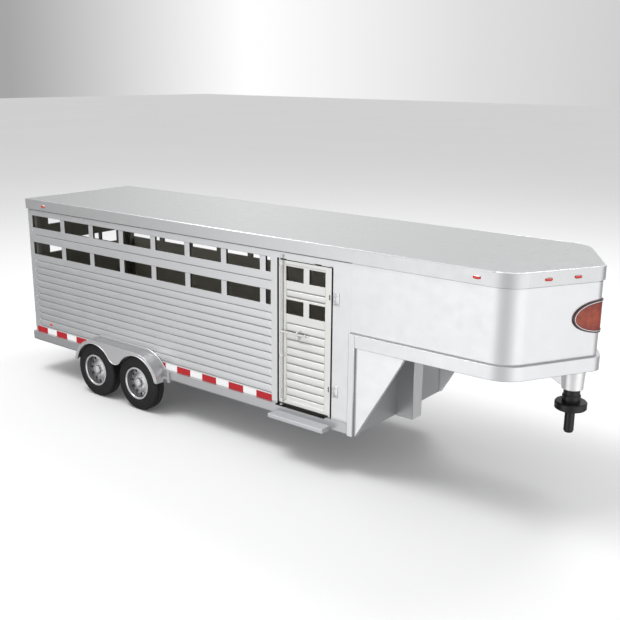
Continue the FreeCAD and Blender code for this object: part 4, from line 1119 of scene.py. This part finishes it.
def badge_ring():
    """A thin pale bead between the badge's rim and its field, which follow the nose's two faces."""
    path = badge_path()
    mesh = bmesh.new()
    rings = []
    for n, point in enumerate(path):
        ahead = (path[(n + 1) % BADGE_STEPS] - path[n - 1]).normalized()
        out = Vector((1, 0.5 if point.y > 0 else -0.5, 0)).normalized()
        beside = ahead.cross(out).normalized()
        out = beside.cross(ahead).normalized()
        rings.append(ring(mesh, point, beside * BADGE_BEAD_WIDER * BADGE_BEAD, out * BADGE_BEAD, 8))
    stretch_between(mesh, rings, True)
    piece("badge_ring", mesh, wheel_paint, "trailer")


badge_ring()


# ---------------------------------------------------------------- floor, light, camera

# How bright the room is round the trailer at floor level: (degrees from +X towards +Y, level).
ROOM = [
    (-180, 0.10), (-152, 0.10), (-142, 0.20), (-134, 0.46), (-125, 0.90), (-115, 1.0), (-102, 0.82),
    (-84, 0.48), (-62, 0.42), (-42, 0.62), (-22, 0.97), (5, 0.90), (25, 0.66), (42, 0.26), (60, 0.23),
    (80, 0.31), (105, 0.33), (118, 0.42), (132, 0.58), (146, 0.22), (180, 0.10),
]
ABOVE = (0.44, 0.44, 0.445)
BELOW = (0.17, 0.17, 0.175)
ROOM_STRENGTH = 1.75

CAMERA_PLACE = Vector((0.38021, -0.45750, 0.23859))
CAMERA_HEADING = 128.0397
CAMERA_TILT = -15.1594
CAMERA_ROLL = 0.5105
FOCAL_LENGTH = 51.47


def studio_floor():
    colour = (0.8, 0.8, 0.8)
    made, tree, shader = start("studio_floor", colour, 0.0, 0.75)
    dappled(tree, shader, colour, 400, 0.01)
    mesh = bmesh.new()
    bmesh.ops.create_grid(mesh, x_segments=1, y_segments=1, size=6)
    data = bpy.data.meshes.new("studio_floor")
    mesh.to_mesh(data)
    mesh.free()
    data.materials.append(made)
    floor = bpy.data.objects.new("studio_floor", data)
    bpy.context.scene.collection.objects.link(floor)
    floor.visible_glossy = False
    floor.visible_diffuse = False


def area_light(name, where, aim, width, height, power):
    lamp = bpy.data.lights.new(name, "AREA")
    lamp.shape = "RECTANGLE"
    lamp.size = width
    lamp.size_y = height
    lamp.energy = power
    made = bpy.data.objects.new(name, lamp)
    bpy.context.scene.collection.objects.link(made)
    made.location = where
    made.rotation_euler = (Vector(aim) - Vector(where)).to_track_quat("-Z", "Y").to_euler()


def studio_light():
    """A pale room with soft boxes and dark gaps between them, plain above and dim below."""
    world = bpy.data.worlds.new("studio")
    world.use_nodes = True
    tree = world.node_tree
    coords = tree.nodes.new("ShaderNodeTexCoord")
    split = tree.nodes.new("ShaderNodeSeparateXYZ")
    tree.links.new(coords.outputs["Generated"], split.inputs["Vector"])
    turn = tree.nodes.new("ShaderNodeMath")
    turn.operation = "ARCTAN2"
    tree.links.new(split.outputs["Y"], turn.inputs[0])
    tree.links.new(split.outputs["X"], turn.inputs[1])
    around = spread(tree, turn.outputs["Value"], 0.0, 1.0, -math.pi, math.pi)
    room = ramp(tree, around, [((degrees + 180) / 360, (level,) * 3) for degrees, level in ROOM])
    rise = spread(tree, split.outputs["Z"], 0.0, 1.0, 0.12, 0.5)
    fall = spread(tree, split.outputs["Z"], 1.0, 0.0, -0.75, -0.35)
    glow = mixed(tree, fall, mixed(tree, rise, room, ABOVE), BELOW)
    tree.links.new(glow, tree.nodes["Background"].inputs["Color"])
    tree.nodes["Background"].inputs["Strength"].default_value = ROOM_STRENGTH
    bpy.context.scene.world = world
    area_light("side_box", (-0.25, -0.28, 1.0), (0.0, 0.0, 0.1), 0.5, 0.4, 6)
    area_light("back_box", (0.11, 0.565, 0.80), (-0.075, -0.06, 0.045), 0.36, 0.26, 2.5)


def camera():
    """The view from the front right, a little above the roof and rolled by half a degree."""
    lens_data = bpy.data.cameras.new("view")
    lens_data.sensor_width = 36
    lens_data.lens = FOCAL_LENGTH
    lens_data.clip_start = 0.01
    made = bpy.data.objects.new("view", lens_data)
    bpy.context.scene.collection.objects.link(made)
    heading, tilt, roll = (math.radians(turn) for turn in (CAMERA_HEADING, CAMERA_TILT, CAMERA_ROLL))
    level = math.cos(tilt)
    gaze = Vector((level * math.cos(heading), level * math.sin(heading), math.sin(tilt)))
    turned = gaze.to_track_quat("-Z", "Y").to_matrix().to_4x4() @ Matrix.Rotation(roll, 4, "Z")
    made.matrix_world = Matrix.Translation(CAMERA_PLACE) @ turned
    bpy.context.scene.camera = made
    bpy.context.scene.view_settings.view_transform = "Standard"


studio_floor()
studio_light()
camera()
